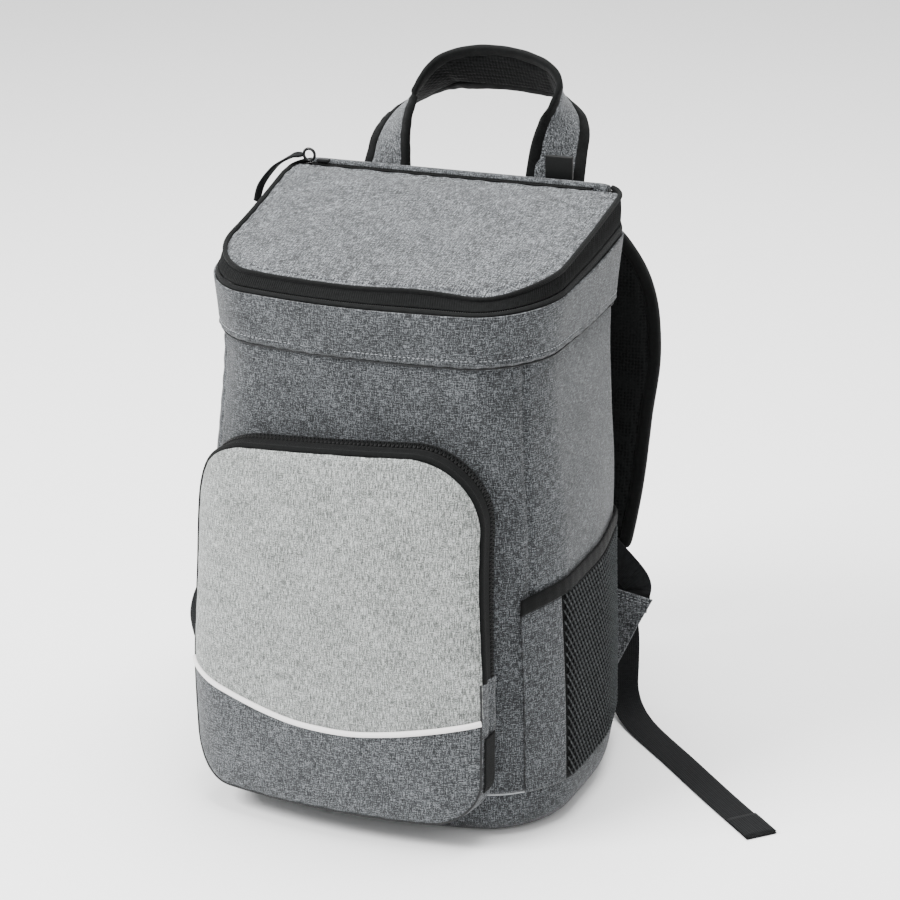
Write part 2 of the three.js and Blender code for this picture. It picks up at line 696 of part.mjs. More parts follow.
// Smooth stations through a table, steps to each row
function smoothRows(table, steps) {
  const rows = [];
  const keys = Object.keys(table[0]);
  for (let i = 0; i < table.length - 1; i += 1) {
    for (let s = 0; s < steps; s += 1) {
      const t = s / steps;
      const row = {};
      for (const key of keys) {
        const p = [i - 1, i, i + 1, i + 2].map((k) => table[Math.min(table.length - 1, Math.max(0, k))][key]);
        row[key] = 0.5 * (2 * p[1] + (p[2] - p[0]) * t + (2 * p[0] - 5 * p[1] + 4 * p[2] - p[3]) * t * t
          + (3 * p[1] - p[0] - 3 * p[2] + p[3]) * t ** 3);
      }
      rows.push(row);
    }
  }
  rows.push({ ...table[table.length - 1] });
  return rows;
}

function handleStations() {
  const back = BODY_BACK + BACK_PAD_THICKNESS + HANDLE_THICKNESS / 2 + GAP;
  return smoothRows(HANDLE_STATIONS, 2).map((row) => {
    const turn = THREE.MathUtils.degToRad(row.turn);
    const tip = THREE.MathUtils.degToRad(row.tip);
    const across = new THREE.Vector3(
      Math.cos(turn),
      -Math.sin(turn) * Math.cos(tip),
      Math.sin(turn) * Math.sin(tip),
    );
    const x = HANDLE_HALF_SPAN * row.along;
    const centre = new THREE.Vector3(x, back + HANDLE_LEAN * row.lean, HANDLE_FOOT + HANDLE_RISE * row.rise);
    return { centre, across, width: HANDLE_WIDTH };
  });
}

function strapStations(side) {
  const back = BODY_BACK + BACK_PAD_THICKNESS + STRAP_THICKNESS / 2 + GAP;
  return smoothRows(STRAP_STATIONS, 2).map((row) => ({
    centre: new THREE.Vector3(
      side * STRAP_REACH * row.out,
      back + STRAP_BOW * row.bow,
      STRAP_FOOT + STRAP_RISE * row.rise,
    ),
    across: new THREE.Vector3(1, 0, 0),
    width: STRAP_WIDTH * row.wide,
  }));
}

// Body
piece('base_tray', baseTray(), 'darkHeather');
piece('body_wall', bodyWall(), 'midHeather');
piece('collar_panel', collarPanel(), 'midHeather');
piece('back_hem', bandStrip(-BAND_FROM + 0.02, BAND_FROM - 0.02, 0, 1, -HEM_DEPTH, 0), 'midHeather');

function backPad() {
  const half = BODY_HALF_WIDTH - BACK_CORNER - BACK_PAD_MARGIN;
  const near = BODY_BACK + GAP;
  const far = BODY_BACK + BACK_PAD_THICKNESS;
  const low = BASE_EDGE * 1.6;
  const high = rimAt(BODY_BACK) + 20;
  const bevel = 12;
  const loop = (z, shrink) => [
    new THREE.Vector3(-half + shrink, near, z),
    new THREE.Vector3(half - shrink, near, z),
    new THREE.Vector3(half - BACK_PAD_MARGIN - shrink, far - shrink / 2, z),
    new THREE.Vector3(BACK_PAD_MARGIN + shrink - half, far - shrink / 2, z),
  ];
  return loft([
    loop(low, BACK_PAD_MARGIN),
    loop(low + bevel, 0),
    loop(high - bevel, 0),
    loop(high, BACK_PAD_MARGIN),
  ]);
}
piece('back_pad', backPad(), 'blackMesh');

// Lid
const lowerStrip = bandStrip(...bandRun, 0, STRIP_SHARE, BAND_INNER, BAND_THICKNESS - 0.6);
piece('lid_zip_lower_strip', lowerStrip, 'blackWebbing');
const tapeShares = [STRIP_SHARE + SHARE_GAP, 1 - PIPING_SHARE - SHARE_GAP];
piece('lid_zip_tape', bandStrip(...bandRun, ...tapeShares, BAND_INNER, BAND_THICKNESS - 1.2), 'blackWebbing');
const pipingShares = [1 - PIPING_SHARE, 1 + PIPING_SHARE / 2];
const lidPiping = bandStrip(...bandRun, ...pipingShares, BAND_INNER, BAND_THICKNESS - 0.8);
piece('lid_edge_piping', lidPiping, 'blackWebbing');
piece('lid_panel', lidPanel(), 'lidHeather');
const zipNear = LID_BACK + GAP;
const zipFar = zipNear + REAR_ZIP_WIDTH;
const zipBox = [REAR_ZIP_LEFT + 6, REAR_ZIP_RIGHT, zipNear, zipFar, -REAR_ZIP_HEIGHT, REAR_ZIP_HEIGHT / 2];
piece('rear_zip', lidBox(...zipBox), 'blackWebbing');
const sliderBox = [REAR_ZIP_LEFT + 7, REAR_ZIP_LEFT + 7 + 2 * SLIDER, zipNear - 0.4, zipFar + 0.4, 1.3, 4];
piece('rear_slider', lidBox(...sliderBox), 'blackPlastic');

// Pull ring standing on a slider, its axis along Y
function pullRing(name, x, y, z) {
  const ring = piece(name, new THREE.TorusGeometry(RING_RADIUS, RING_WIRE, 6, 12), 'blackPlastic');
  ring.rotation.x = Math.PI / 2;
  ring.position.set(x, y, z);
}

// A pull strap that hangs from its ring; the table's columns are shares of the pull's length
function pullStrap(table, start, across) {
  return band(table.map((row) => ({
    centre: new THREE.Vector3(
      start.x - PULL_LENGTH * row.out,
      start.y - PULL_LENGTH * row.ahead,
      start.z - PULL_LENGTH * row.down,
    ),
    across,
    width: PULL_WIDTH * row.wide,
  })), PULL_THICKNESS);
}

const rearRingHeight = lidEdgeAt(zipNear) + RING_RADIUS + 1.2;
const rearRing = new THREE.Vector3(REAR_ZIP_LEFT, (zipNear + zipFar) / 2, rearRingHeight);
pullRing('rear_pull_ring', rearRing.x, rearRing.y, rearRing.z);
const rearPullStart = rearRing.clone().add(new THREE.Vector3(-RING_RADIUS - 2, 0, 0));
const rearPull = pullStrap(REAR_PULL_STATIONS, rearPullStart, new THREE.Vector3(0.3, 1, 0.2));
piece('rear_pull', rearPull, 'blackWebbing');

// Front pocket
const FACE_DEPTH = POCKET_DEPTH + POCKET_CLOTH;
const pipingNear = FACE_DEPTH - EDGE_PIPING;
const innerTapeNear = pipingNear - GAP - ZIP_INNER_TAPE;
const chainNear = innerTapeNear - GAP - ZIP_CHAIN_WIDTH;
const zipRun = [ZIP_FROM, ZIP_TO, 40];
piece('pocket_panel', pocketFace(16, 9, (a) => smileAt(a) + SEAM_HALF, panelTop), 'paleHeather');
piece('pocket_yoke', pocketFace(16, 5, yokeBottom, (a) => smileAt(a) - SEAM_HALF), 'darkHeather');
const gussetRun = [ZIP_TO - 1 + GUSSET_OVERLAP, ZIP_FROM - GUSSET_OVERLAP, 32];
piece('pocket_gusset', gussetStrip(...gussetRun, 2 * GAP, FACE_DEPTH, -GUSSET_CLOTH, 0), 'darkHeather');
const outerTape = gussetStrip(...zipRun, 2 * GAP, chainNear - GAP, -GUSSET_CLOTH, 0);
piece('pocket_zip_outer_tape', outerTape, 'blackWebbing');
const chainFar = chainNear + ZIP_CHAIN_WIDTH;
const chainStrip = gussetStrip(...zipRun, chainNear, chainFar, -GUSSET_CLOTH, ZIP_CHAIN_RISE);
piece('pocket_zip_chain', chainStrip, 'blackPlastic');
const innerTape = gussetStrip(...zipRun, innerTapeNear, pipingNear - GAP, -GUSSET_CLOTH, 0);
piece('pocket_zip_inner_tape', innerTape, 'blackWebbing');
const edgePiping = gussetStrip(...zipRun, pipingNear, FACE_DEPTH + 0.8, -GUSSET_CLOTH, 0.8);
piece('pocket_edge_piping', edgePiping, 'blackWebbing');

function palePiping() {
  const places = [];
  for (let i = 0; i <= 16; i += 1) {
    const across = (1 - EDGE_MARGIN / POCKET_HALF) * (i / 8 - 1);
    places.push(facePoint(across, smileAt(across), POCKET_CLOTH * 0.6));
  }
  return roundTrim(places, PALE_PIPING / 2, 6);
}
piece('pocket_pale_piping', palePiping(), 'paleTrim');

const labelRun = [LABEL_TOP - LABEL_HEIGHT, LABEL_TOP].map((z) => outlineShare(z, 0.01, 0.5));
const labelAcross = [FACE_DEPTH - LABEL_WIDTH - 1, FACE_DEPTH - 1];
const label = gussetStrip(...labelRun, 4, ...labelAcross, GAP, GAP + LABEL_CLOTH);
piece('pocket_label', label, 'blackWebbing');

const sliderShares = [SLIDER_HEIGHT + SLIDER, SLIDER_HEIGHT - SLIDER].map((z) => outlineShare(z, 0.99, 0.5));
const sliderOut = ZIP_CHAIN_RISE + GAP;
const sliderSpan = [chainNear - 1, chainFar + 1];
const slider = gussetStrip(...sliderShares, 3, ...sliderSpan, sliderOut, sliderOut + 3);
piece('pocket_slider', slider, 'blackPlastic');
const chainMiddle = chainNear + ZIP_CHAIN_WIDTH / 2;
const sliderShare = outlineShare(SLIDER_HEIGHT, 0.99, 0.5);
const pocketRing = gussetPoint(sliderShare, chainMiddle, sliderOut + 4 + RING_RADIUS);
pullRing('pocket_pull_ring', pocketRing.x, pocketRing.y, pocketRing.z);
const pocketPullStart = pocketRing.clone().add(new THREE.Vector3(0, 0, -RING_RADIUS - 2.4));
const pocketPull = pullStrap(POCKET_PULL_STATIONS, pocketPullStart, new THREE.Vector3(0.9, -0.45, 0));
piece('pocket_pull', pocketPull, 'blackWebbing');

// Side pockets
for (const side of ['right', 'left']) {
  const along = (step) => (side === 'right' ? step : 10 - step);
  const skin = (a, b, ...rest) => {
    const ends = [along(a), along(b)];
    return bodySkin(Math.min(...ends), Math.max(...ends), ...rest);
  };
  const seam = side === 'right' ? RIGHT_SEAM_STEP : LEFT_SEAM_STEP;
  const back = (step) => (seam - (side === 'right' ? step : 10 - step)) / (seam - SIDE_END_STEP);
  const low = () => BASE_SEAM_HEIGHT;
  const top = (step) => SIDE_POCKET_TOP + SIDE_POCKET_RISE * back(step);
  const bindingFoot = (step) => top(step) - SIDE_BINDING;
  const clothTop = (step) => bindingFoot(step) - GAP;
  const out = SIDE_STANDOFF + SIDE_CLOTH;
  const strip = skin(MESH_STEP + 0.01, seam, low, clothTop, SIDE_STANDOFF, out);
  piece(`side_strip_${side}`, strip, 'midHeather');
  piece(`side_mesh_${side}`, skin(SIDE_END_STEP, MESH_STEP, low, clothTop, SIDE_STANDOFF, out), 'blackMesh');
  const binding = skin(SIDE_END_STEP, seam, bindingFoot, top, SIDE_STANDOFF, out + SIDE_CLOTH);
  piece(`side_binding_${side}`, binding, 'blackWebbing');
}

// Handle
const handle = handleStations();
piece('handle_strap', band(handle, HANDLE_THICKNESS, 0.55), 'midHeather');
piece('handle_binding_inner', band(edgeStations(handle, 1, HANDLE_BINDING), HANDLE_BINDING), 'blackWebbing');
piece('handle_binding_outer', band(edgeStations(handle, -1, HANDLE_BINDING), HANDLE_BINDING), 'blackWebbing');

function handleKeeper() {
  const place = HANDLE_HALF_SPAN;
  const face = BODY_BACK + BACK_PAD_THICKNESS + KEEPER_SETBACK;
  const loop = (y) => [
    new THREE.Vector3(place - KEEPER_WIDTH / 2, y, KEEPER_BOTTOM),
    new THREE.Vector3(place + KEEPER_WIDTH / 2, y, KEEPER_BOTTOM),
    new THREE.Vector3(place + KEEPER_WIDTH / 2, y, KEEPER_BOTTOM + KEEPER_HEIGHT),
    new THREE.Vector3(place - KEEPER_WIDTH / 2, y, KEEPER_BOTTOM + KEEPER_HEIGHT),
  ];
  return loft([loop(face - KEEPER_THICKNESS), loop(face)]);
}
piece('handle_keeper', handleKeeper(), 'blackPlastic');

// Ladder lock: a plate with two slots for the webbing
function ladderLock() {
  const [w, h] = [LOCK_WIDTH / 2, LOCK_HEIGHT / 2];
  const plate = new THREE.Shape([
    new THREE.Vector2(-w, -h),
    new THREE.Vector2(w, -h),
    new THREE.Vector2(w, h),
    new THREE.Vector2(-w, h),
  ]);
  const slotHalf = WEBBING_WIDTH / 2 + GAP;
  for (const middle of [-h / 2, h / 2]) {
    plate.holes.push(new THREE.Path([
      new THREE.Vector2(-slotHalf, middle - LOCK_SLOT / 2),
      new THREE.Vector2(-slotHalf, middle + LOCK_SLOT / 2),
      new THREE.Vector2(slotHalf, middle + LOCK_SLOT / 2),
      new THREE.Vector2(slotHalf, middle - LOCK_SLOT / 2),
    ]));
  }
  return new THREE.ExtrudeGeometry(plate, { depth: LOCK_THICKNESS, bevelEnabled: false });
}

// Anchor tab: a folded triangle of cloth whose inner edge lies on the back pad
function anchorTab(side, near) {
  const loop = (y) => TAB_CORNERS.map((row) => new THREE.Vector3(
    side * TAB_INNER + side * TAB_REACH * row.out,
    y,
    TAB_BOTTOM + TAB_HEIGHT * row.rise,
  ));
  return loft([loop(near), loop(near + TAB_THICKNESS)]);
}

// A webbing run: places are shares of the reach outwards and forwards and of the lock's height
function webbingRun(table, side, start, reach, ahead) {
  return band(table.map((row) => {
    const turn = THREE.MathUtils.degToRad(row.turn);
    return {
      centre: new THREE.Vector3(
        side * (start.x + reach * row.out),
        start.y - ahead * row.ahead,
        WEBBING_THICKNESS / 2 + GAP / 2 + (start.z - WEBBING_THICKNESS) * row.height,
      ),
      across: new THREE.Vector3(side * Math.cos(turn), Math.sin(turn), 0),
      width: WEBBING_WIDTH,
    };
  }), WEBBING_THICKNESS);
}

for (const [name, side] of [['right', 1], ['left', -1]]) {
  const stations = strapStations(side);
  piece(`strap_pad_${name}`, band(stations, STRAP_THICKNESS, 0.5), 'blackMesh');
  const outer = band(edgeStations(stations, 1, STRAP_BINDING), STRAP_BINDING);
  const inner = band(edgeStations(stations, -1, STRAP_BINDING), STRAP_BINDING);
  piece(`strap_binding_a_${name}`, outer, 'blackWebbing');
  piece(`strap_binding_b_${name}`, inner, 'blackWebbing');
  const end = stations[stations.length - 1].centre;
  const lock = piece(`ladder_lock_${name}`, ladderLock(), 'blackPlastic');
  lock.rotation.x = Math.PI / 2;
  lock.position.set(side * LOCK_PLACE, end.y + LOCK_THICKNESS / 2, STRAP_FOOT - LOCK_HEIGHT / 2 - LOCK_DROP);
  const tabNear = BODY_BACK + BACK_PAD_THICKNESS + GAP;
  piece(`anchor_tab_${name}`, anchorTab(side, tabNear), 'midHeather');
  const lockFoot = STRAP_FOOT - LOCK_HEIGHT - LOCK_DROP - 2;
  const tailStart = new THREE.Vector3(LOCK_PLACE, end.y + LOCK_THICKNESS, lockFoot);
  const tail = side > 0 ? RIGHT_TAIL : LEFT_TAIL;
  const ahead = side > 0 ? TAIL_AHEAD : -TAIL_BEHIND;
  const reach = side > 0 ? TAIL_REACH : -LEFT_TAIL_REACH;
  piece(`webbing_tail_${name}`, webbingRun(tail, side, tailStart, reach, ahead), 'blackWebbing');
  const from = new THREE.Vector3(
    side * (TAB_INNER + TAB_REACH * 0.86),
    tabNear + TAB_THICKNESS + 2.5,
    TAB_BOTTOM + TAB_HEIGHT * 0.7,
  );
  const to = new THREE.Vector3(side * LOCK_PLACE, end.y - LOCK_THICKNESS * 1.6, lockFoot - 4);
  const middle = from.clone().lerp(to, 0.45).add(new THREE.Vector3(side * 7, 0, 2));
  const across = new THREE.Vector3(side * 0.75, 0, 0.65);
  const run = [from, from.clone().lerp(middle, 0.5).add(new THREE.Vector3(side * 2, 0, 0)), middle, to];
  const webbing = run.map((centre) => ({ centre, across, width: WEBBING_WIDTH }));
  piece(`anchor_webbing_${name}`, band(webbing, WEBBING_THICKNESS), 'blackWebbing');
}

export default bag;
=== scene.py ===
"""Cooler backpack: the finished look of each piece over its CAD frame.

Lengths are in millimetres until a mesh is made. The bag stands upright, its front towards -Y and +Z up.
"""

import math

import bpy
import numpy as np
from mathutils import Matrix


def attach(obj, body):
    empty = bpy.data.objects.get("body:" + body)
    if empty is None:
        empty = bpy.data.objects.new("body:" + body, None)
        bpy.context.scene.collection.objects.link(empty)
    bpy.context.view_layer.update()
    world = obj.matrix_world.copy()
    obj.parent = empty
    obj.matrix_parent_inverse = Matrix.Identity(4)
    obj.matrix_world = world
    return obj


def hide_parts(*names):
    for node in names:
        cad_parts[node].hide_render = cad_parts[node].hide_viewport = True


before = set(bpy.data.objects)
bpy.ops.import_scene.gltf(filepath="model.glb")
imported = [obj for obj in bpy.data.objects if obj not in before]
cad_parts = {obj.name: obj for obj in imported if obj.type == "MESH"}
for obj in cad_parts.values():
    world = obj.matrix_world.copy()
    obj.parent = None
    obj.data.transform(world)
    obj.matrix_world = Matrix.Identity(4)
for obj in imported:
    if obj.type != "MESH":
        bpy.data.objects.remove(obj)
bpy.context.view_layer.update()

MM = 0.001
BAG_MIDDLE = np.array([0.0, 0.0, 200.0])

# Body
BODY_HALF_WIDTH = 128.0
BODY_FRONT = 93.4
BODY_BACK = 95.0
FRONT_BULGE = 17.0
SIDE_BULGE = 5.0
LEFT_TUCK = 9.0
FRONT_CORNER = 48.5
BACK_CORNER = 19.0
WALL = 6.0
COLLAR_HEIGHT = 356.0
COLLAR_DEPTH = 40.0
COLLAR_OUT = 3.1
BASE_SEAM_HEIGHT = 34.0
BASE_EDGE = 22.0
BASE_FRONT_TUCK = -0.45
BACK_PAD_THICKNESS = 8.0
BACK_PAD_MARGIN = 7.0
GAP = 0.4

# Lid and the zip band round it
RIM_HEIGHT = COLLAR_HEIGHT + COLLAR_DEPTH
RIM_SLOPE = 0.07
BAND_HEIGHT = 12.5
LID_SLOPE = 0.17
LID_THICKNESS = 5.0
LID_CROWN = 3.0
HEM_DEPTH = 6.0
REAR_ZIP_WIDTH = 4.0
REAR_ZIP_LEFT = 7 - BODY_HALF_WIDTH
REAR_ZIP_RIGHT = BODY_HALF_WIDTH - 20
LID_BACK = BODY_BACK - HEM_DEPTH - REAR_ZIP_WIDTH - 2 * GAP
BAND_FROM = 1.3
RIB_PITCH = 1.7

# Front pocket
POCKET_LEFT = 1 - BODY_HALF_WIDTH
POCKET_RIGHT = BODY_HALF_WIDTH - 18
POCKET_BOTTOM = 19.0
POCKET_TOP = 301.0
POCKET_TILT = 9.0
POCKET_CROWN = 3.0
TOP_CORNER = 62.0
BOTTOM_CORNER = 38.0
POCKET_DEPTH = 28.0
POCKET_DOME = 5.0
POCKET_FLARE = 7.0
POCKET_CLOTH = 2.0
ZIP_END_HEIGHT = 132.0
ZIP_CHAIN_WIDTH = 6.0
ZIP_INNER_TAPE = 9.0
EDGE_PIPING = 3.6
SMILE_HEIGHT = 87.0
FACE_LEFT = POCKET_LEFT + 1.5
FACE_RIGHT = POCKET_RIGHT - 6.6
FACE_BOTTOM = POCKET_BOTTOM + 2.2
FACE_TOP = POCKET_TOP - 10.5
FACE_TOP_CORNER = TOP_CORNER - 11
FACE_FOOT_CORNER = BOTTOM_CORNER - 3
FACE_MIDDLE = (FACE_LEFT + FACE_RIGHT) / 2
FACE_HALF = (FACE_RIGHT - FACE_LEFT) / 2
LEFT_SAG = 9.5
LEFT_SAG_HEIGHT = 122.0
LEFT_SLUMP = 3.6
RIGHT_SAG = 5.5
PULL_STANDOFF = 9.0
PALE_PIPING = 4.4
LABEL_WIDTH = 16.0
LABEL_HEIGHT = 42.0
LABEL_TOP = 91.0
TOOTH_PITCH = 1.6
SLIDER_HEIGHT = 154.0
RING_RADIUS = 4.6
RING_WIRE = 1.0
PULL_LENGTH = 56.0
PULL_WIDTH = 8.0

# Side pockets
SIDE_POCKET_TOP = 0.514 * COLLAR_HEIGHT
SIDE_POCKET_RISE = 9.5
SIDE_BINDING = 12.0
RIGHT_SEAM_STEP = 3.6
LEFT_SEAM_STEP = 3.35
MESH_STEP = 3.2
SIDE_END_STEP = 1.45
NET_PITCH = 5.0
NET_HOLE = 0.6

# Handle
HANDLE_HALF_SPAN = 75.0
HANDLE_FOOT = RIM_HEIGHT + 21
HANDLE_RISE = 96.0
HANDLE_LEAN = 30.0
HANDLE_WIDTH = 40.0
HANDLE_THICKNESS = 7.0
HANDLE_BINDING = 8.5
KEEPER_WIDTH = 22.0
KEEPER_HEIGHT = 18.0
KEEPER_BOTTOM = HANDLE_FOOT + 21
KEEPER_SETBACK = 5.8

# Shoulder straps
STRAP_WIDTH = 60.0
STRAP_THICKNESS = 10.0
STRAP_BINDING = 8.0
STRAP_FOOT = 150.0
STRAP_RISE = RIM_HEIGHT + 4 - STRAP_FOOT
STRAP_REACH = BODY_HALF_WIDTH - 10
STRAP_BOW = 49.0
WEBBING_WIDTH = 25.0
WEBBING_THICKNESS = 1.6
TAIL_REACH = 182.0
TAIL_AHEAD = 180.0
TAIL_BEHIND = 36.0
LEFT_TAIL_REACH = 200.0
LOCK_PLACE = BODY_HALF_WIDTH - 22
LOCK_WIDTH = 34.0
LOCK_HEIGHT = 18.0
LOCK_THICKNESS = 3.6
LOCK_DROP = 5.0
TAB_INNER = BODY_HALF_WIDTH - 48
TAB_REACH = 75.0
TAB_BOTTOM = 30.0
TAB_HEIGHT = 92.0
TAB_THICKNESS = 2.6


def table(names, *rows):
    """A table as one array for each named column."""
    columns = np.array(rows, float).T
    return dict(zip(names.split(), columns))


# Sections of the body: at is a share of the collar height, the rest are shares of the body's sizes
BODY_SECTIONS = table(
    "at half back front bulge side corner tuck",
    (0.0, 1.13, 1.03, 1.085, 1.45, 1.0, 1.6, 0),
    (0.3, 1.115, 1.02, 1.065, 1.35, 0.9, 1.5, 0),
    (0.47, 1.09, 1.01, 1.045, 1.25, 0.8, 1.3, 0),
    (0.65, 1.065, 1.02, 1.03, 1.15, 0.7, 1.2, 0),
    (0.79, 1.025, 1.0, 1.01, 1.05, 0.5, 1.1, 0),
    (1.0, 1.0, 0.99, 1.0, 1.0, 0.35, 1.0, 0.35),
    (1.12, 1.05, 1.03, 1.043, 1.0, 0.3, 1.0, 1.0),
)
LID_SECTION = {
    "half": 1.033,
    "back": 1.03,
    "front": 0.948,
    "bulge": 1.0,
    "side": 0.3,
    "corner": 1.0,
    "tuck": 1.0,
}

# Centre line of the handle: shares of its sizes, then the degrees its width has turned and tipped
HANDLE_TABLE = table(
    "along rise lean turn tip",
    (-0.9, 0.0, 0.1, 2, 0),
    (-0.87, 0.23, 0.11, 19, 9),
    (-0.855, 0.39, 0.2, 27, 19),
    (-0.825, 0.51, 0.34, 37, 21),
    (-0.795, 0.6, 0.5, 47, 19),
    (-0.76, 0.66, 0.7, 58, 20),
    (-0.7, 0.705, 0.87, 68, 23),
    (-0.59, 0.78, 1.0, 76, 30),
    (-0.45, 0.86, 1.07, 81, 41),
    (-0.27, 0.93, 1.085, 84, 51),
    (0.0, 0.975, 1.08, 84, 57),
    (0.28, 0.985, 1.05, 83, 57),
    (0.55, 0.965, 1.02, 82, 54),
    (0.76, 0.925, 0.97, 79, 46),
    (0.875, 0.85, 0.9, 80, 37),
    (0.93, 0.755, 0.8, 97, 28),
    (0.96, 0.66, 0.7, 118, 22),
    (0.965, 0.56, 0.57, 133, 20),
    (0.935, 0.39, 0.4, 147, 18),
    (0.92, 0.12, 0.16, 165, 8),
    (0.92, 0.0, 0.1, 174, 0),
)

# Centre line of a shoulder strap from its top end to its lower end, as shares of its sizes
STRAP_TABLE = table(
    "out rise bow wide",
    (0.54, 1.0, -0.04, 1.0),
    (0.54, 1.0, 0.4, 1.0),
    (0.63, 0.93, 0.85, 1.0),
    (0.85, 0.77, 1.0, 1.0),
    (0.91, 0.58, 1.0, 1.0),
    (0.885, 0.38, 0.92, 0.95),
    (0.87, 0.17, 0.75, 0.9),
    (0.855, 0.0, 0.55, 0.8),
    (0.85, -0.04, 0.5, 0.72),
)

# Routes of the webbing tails: shares of their reaches and of the lock's height, then the width's heading
RIGHT_TAIL = table(
    "out ahead height turn",
    (0.0, 0.0, 1.0, 0),
    (0.04, 0.0, 0.78, 12),
    (0.08, 0.01, 0.52, 28),
    (0.09, 0.02, 0.3, 38),
    (0.1, 0.05, 0.13, 42),
    (0.15, 0.12, 0.04, 43),
    (0.26, 0.25, 0.008, 43),
    (0.48, 0.47, 0.0, 43),
    (0.74, 0.74, 0.0, 43),
    (1.0, 1.0, 0.0, 43),
)
LEFT_TAIL = table(
    "out ahead height turn",
    (0.0, 0.0, 1.0, 20),
    (-0.02, 0.02, 0.75, 50),
    (-0.03, 0.1, 0.48, 75),
    (0.0, 0.2, 0.24, 85),
    (0.07, 0.4, 0.07, 95),
    (0.18, 0.6, 0.01, 98),
    (0.4, 0.8, 0.0, 98),
    (0.7, 0.95, 0.0, 95),
    (1.0, 1.0, 0.0, 92),
)

# Corners of an anchor tab as shares of its reach and height
TAB_CORNERS = table(
    "out rise",
    (0.0, 0.0),
    (0.62, 0.2),
    (0.83, 0.58),
    (1.0, 0.86),
    (0.5, 0.93),
    (0.0, 1.0),
)

# How the pulls hang: shares of the pull's length to the left, forwards and down
REAR_PULL = table(
    "out ahead down wide",
    (0.0, 0.0, 0.0, 0.7),
    (0.12, 0.1, 0.02, 1.0),
    (0.3, 0.25, 0.14, 1.0),
    (0.44, 0.4, 0.36, 0.95),
    (0.47, 0.52, 0.58, 0.8),
)
POCKET_PULL = table(
    "out ahead down wide",
    (0.0, 0.0, 0.0, 0.8),
    (0.09, 0.07, 0.24, 1.0),
    (0.12, 0.14, 0.5, 1.0),
    (0.07, 0.16, 0.78, 1.0),
    (-0.01, 0.16, 1.0, 0.9),
)

# Camera, found by laying the bag's own edges over the photograph
CAMERA_AZIMUTH = 23.0
CAMERA_ELEVATION = 20.72
CAMERA_ROLL = 0.81
CAMERA_DISTANCE = 2.1
CAMERA_TARGET = np.array([0.0, 0.0, 0.22983])
CAMERA_LENS = 111.9
CAMERA_SHIFT = (0.0389, 0.0271)


def aim_camera():
    """The photograph's view: turned about the target by azimuth and elevation, then rolled."""
    turn, lift, roll = np.radians([CAMERA_AZIMUTH, CAMERA_ELEVATION, CAMERA_ROLL])
    back = np.array([math.sin(turn) * math.cos(lift), -math.cos(turn) * math.cos(lift), math.sin(lift)])
    right = np.array([math.cos(turn), math.sin(turn), 0.0])
    up = np.cross(back, right)
    rolled_right = math.cos(roll) * right - math.sin(roll) * up
    rolled_up = math.cos(roll) * up + math.sin(roll) * right
    place = CAMERA_TARGET + back * CAMERA_DISTANCE
    data = bpy.data.cameras.new("photo_camera")
    data.lens = CAMERA_LENS
    data.sensor_width = 36.0
    data.shift_x, data.shift_y = CAMERA_SHIFT
    camera = bpy.data.objects.new("photo_camera", data)
    rows = [[*row, place[i]] for i, row in enumerate(np.stack([rolled_right, rolled_up, back], 1))]
    camera.matrix_world = Matrix([*rows, [0, 0, 0, 1]])
    bpy.context.scene.collection.objects.link(camera)
    bpy.context.scene.camera = camera


aim_camera()


# Shares, mixes and smooth tables
def mix(a, b, share):
    return a + (b - a) * share


def smooth(value):
    value = np.clip(value, 0, 1)
    return value * value * (3 - 2 * value)


def bump_at(distance, width):
    """One smooth hump of height 1 about distance 0."""
    return np.exp(-((distance / width) ** 2))


def hermite(knots, values, x):
    """A smooth curve through a column of a table."""
    slopes = np.gradient(values, knots)
    x = np.clip(x, knots[0], knots[-1])
    i = np.clip(np.searchsorted(knots, x, side="right") - 1, 0, len(knots) - 2)
    step = knots[i + 1] - knots[i]
    t = (x - knots[i]) / step
    return (
        (2 * t**3 - 3 * t**2 + 1) * values[i]
        + (t**3 - 2 * t**2 + t) * step * slopes[i]
        + (3 * t**2 - 2 * t**3) * values[i + 1]
        + (t**3 - t**2) * step * slopes[i + 1]
    )


def smooth_rows(columns, count):
    """count places along a table, smooth from row to row."""
    rows = len(next(iter(columns.values())))
    knots = np.arange(rows, dtype=float)
    x = np.linspace(0, rows - 1, count)
    return {name: hermite(knots, values, x) for name, values in columns.items()}


def section_at(level):
    """Body section columns at a share of the collar height."""
    knots = BODY_SECTIONS["at"]
    return {name: hermite(knots, column, level) for name, column in BODY_SECTIONS.items()}


def mixed_section(share):
    """Section between the rim (0) and the lid's edge (1)."""
    last = {name: column[-1] for name, column in BODY_SECTIONS.items() if name != "at"}
    return {name: mix(last[name], LID_SECTION[name], share) for name in last}


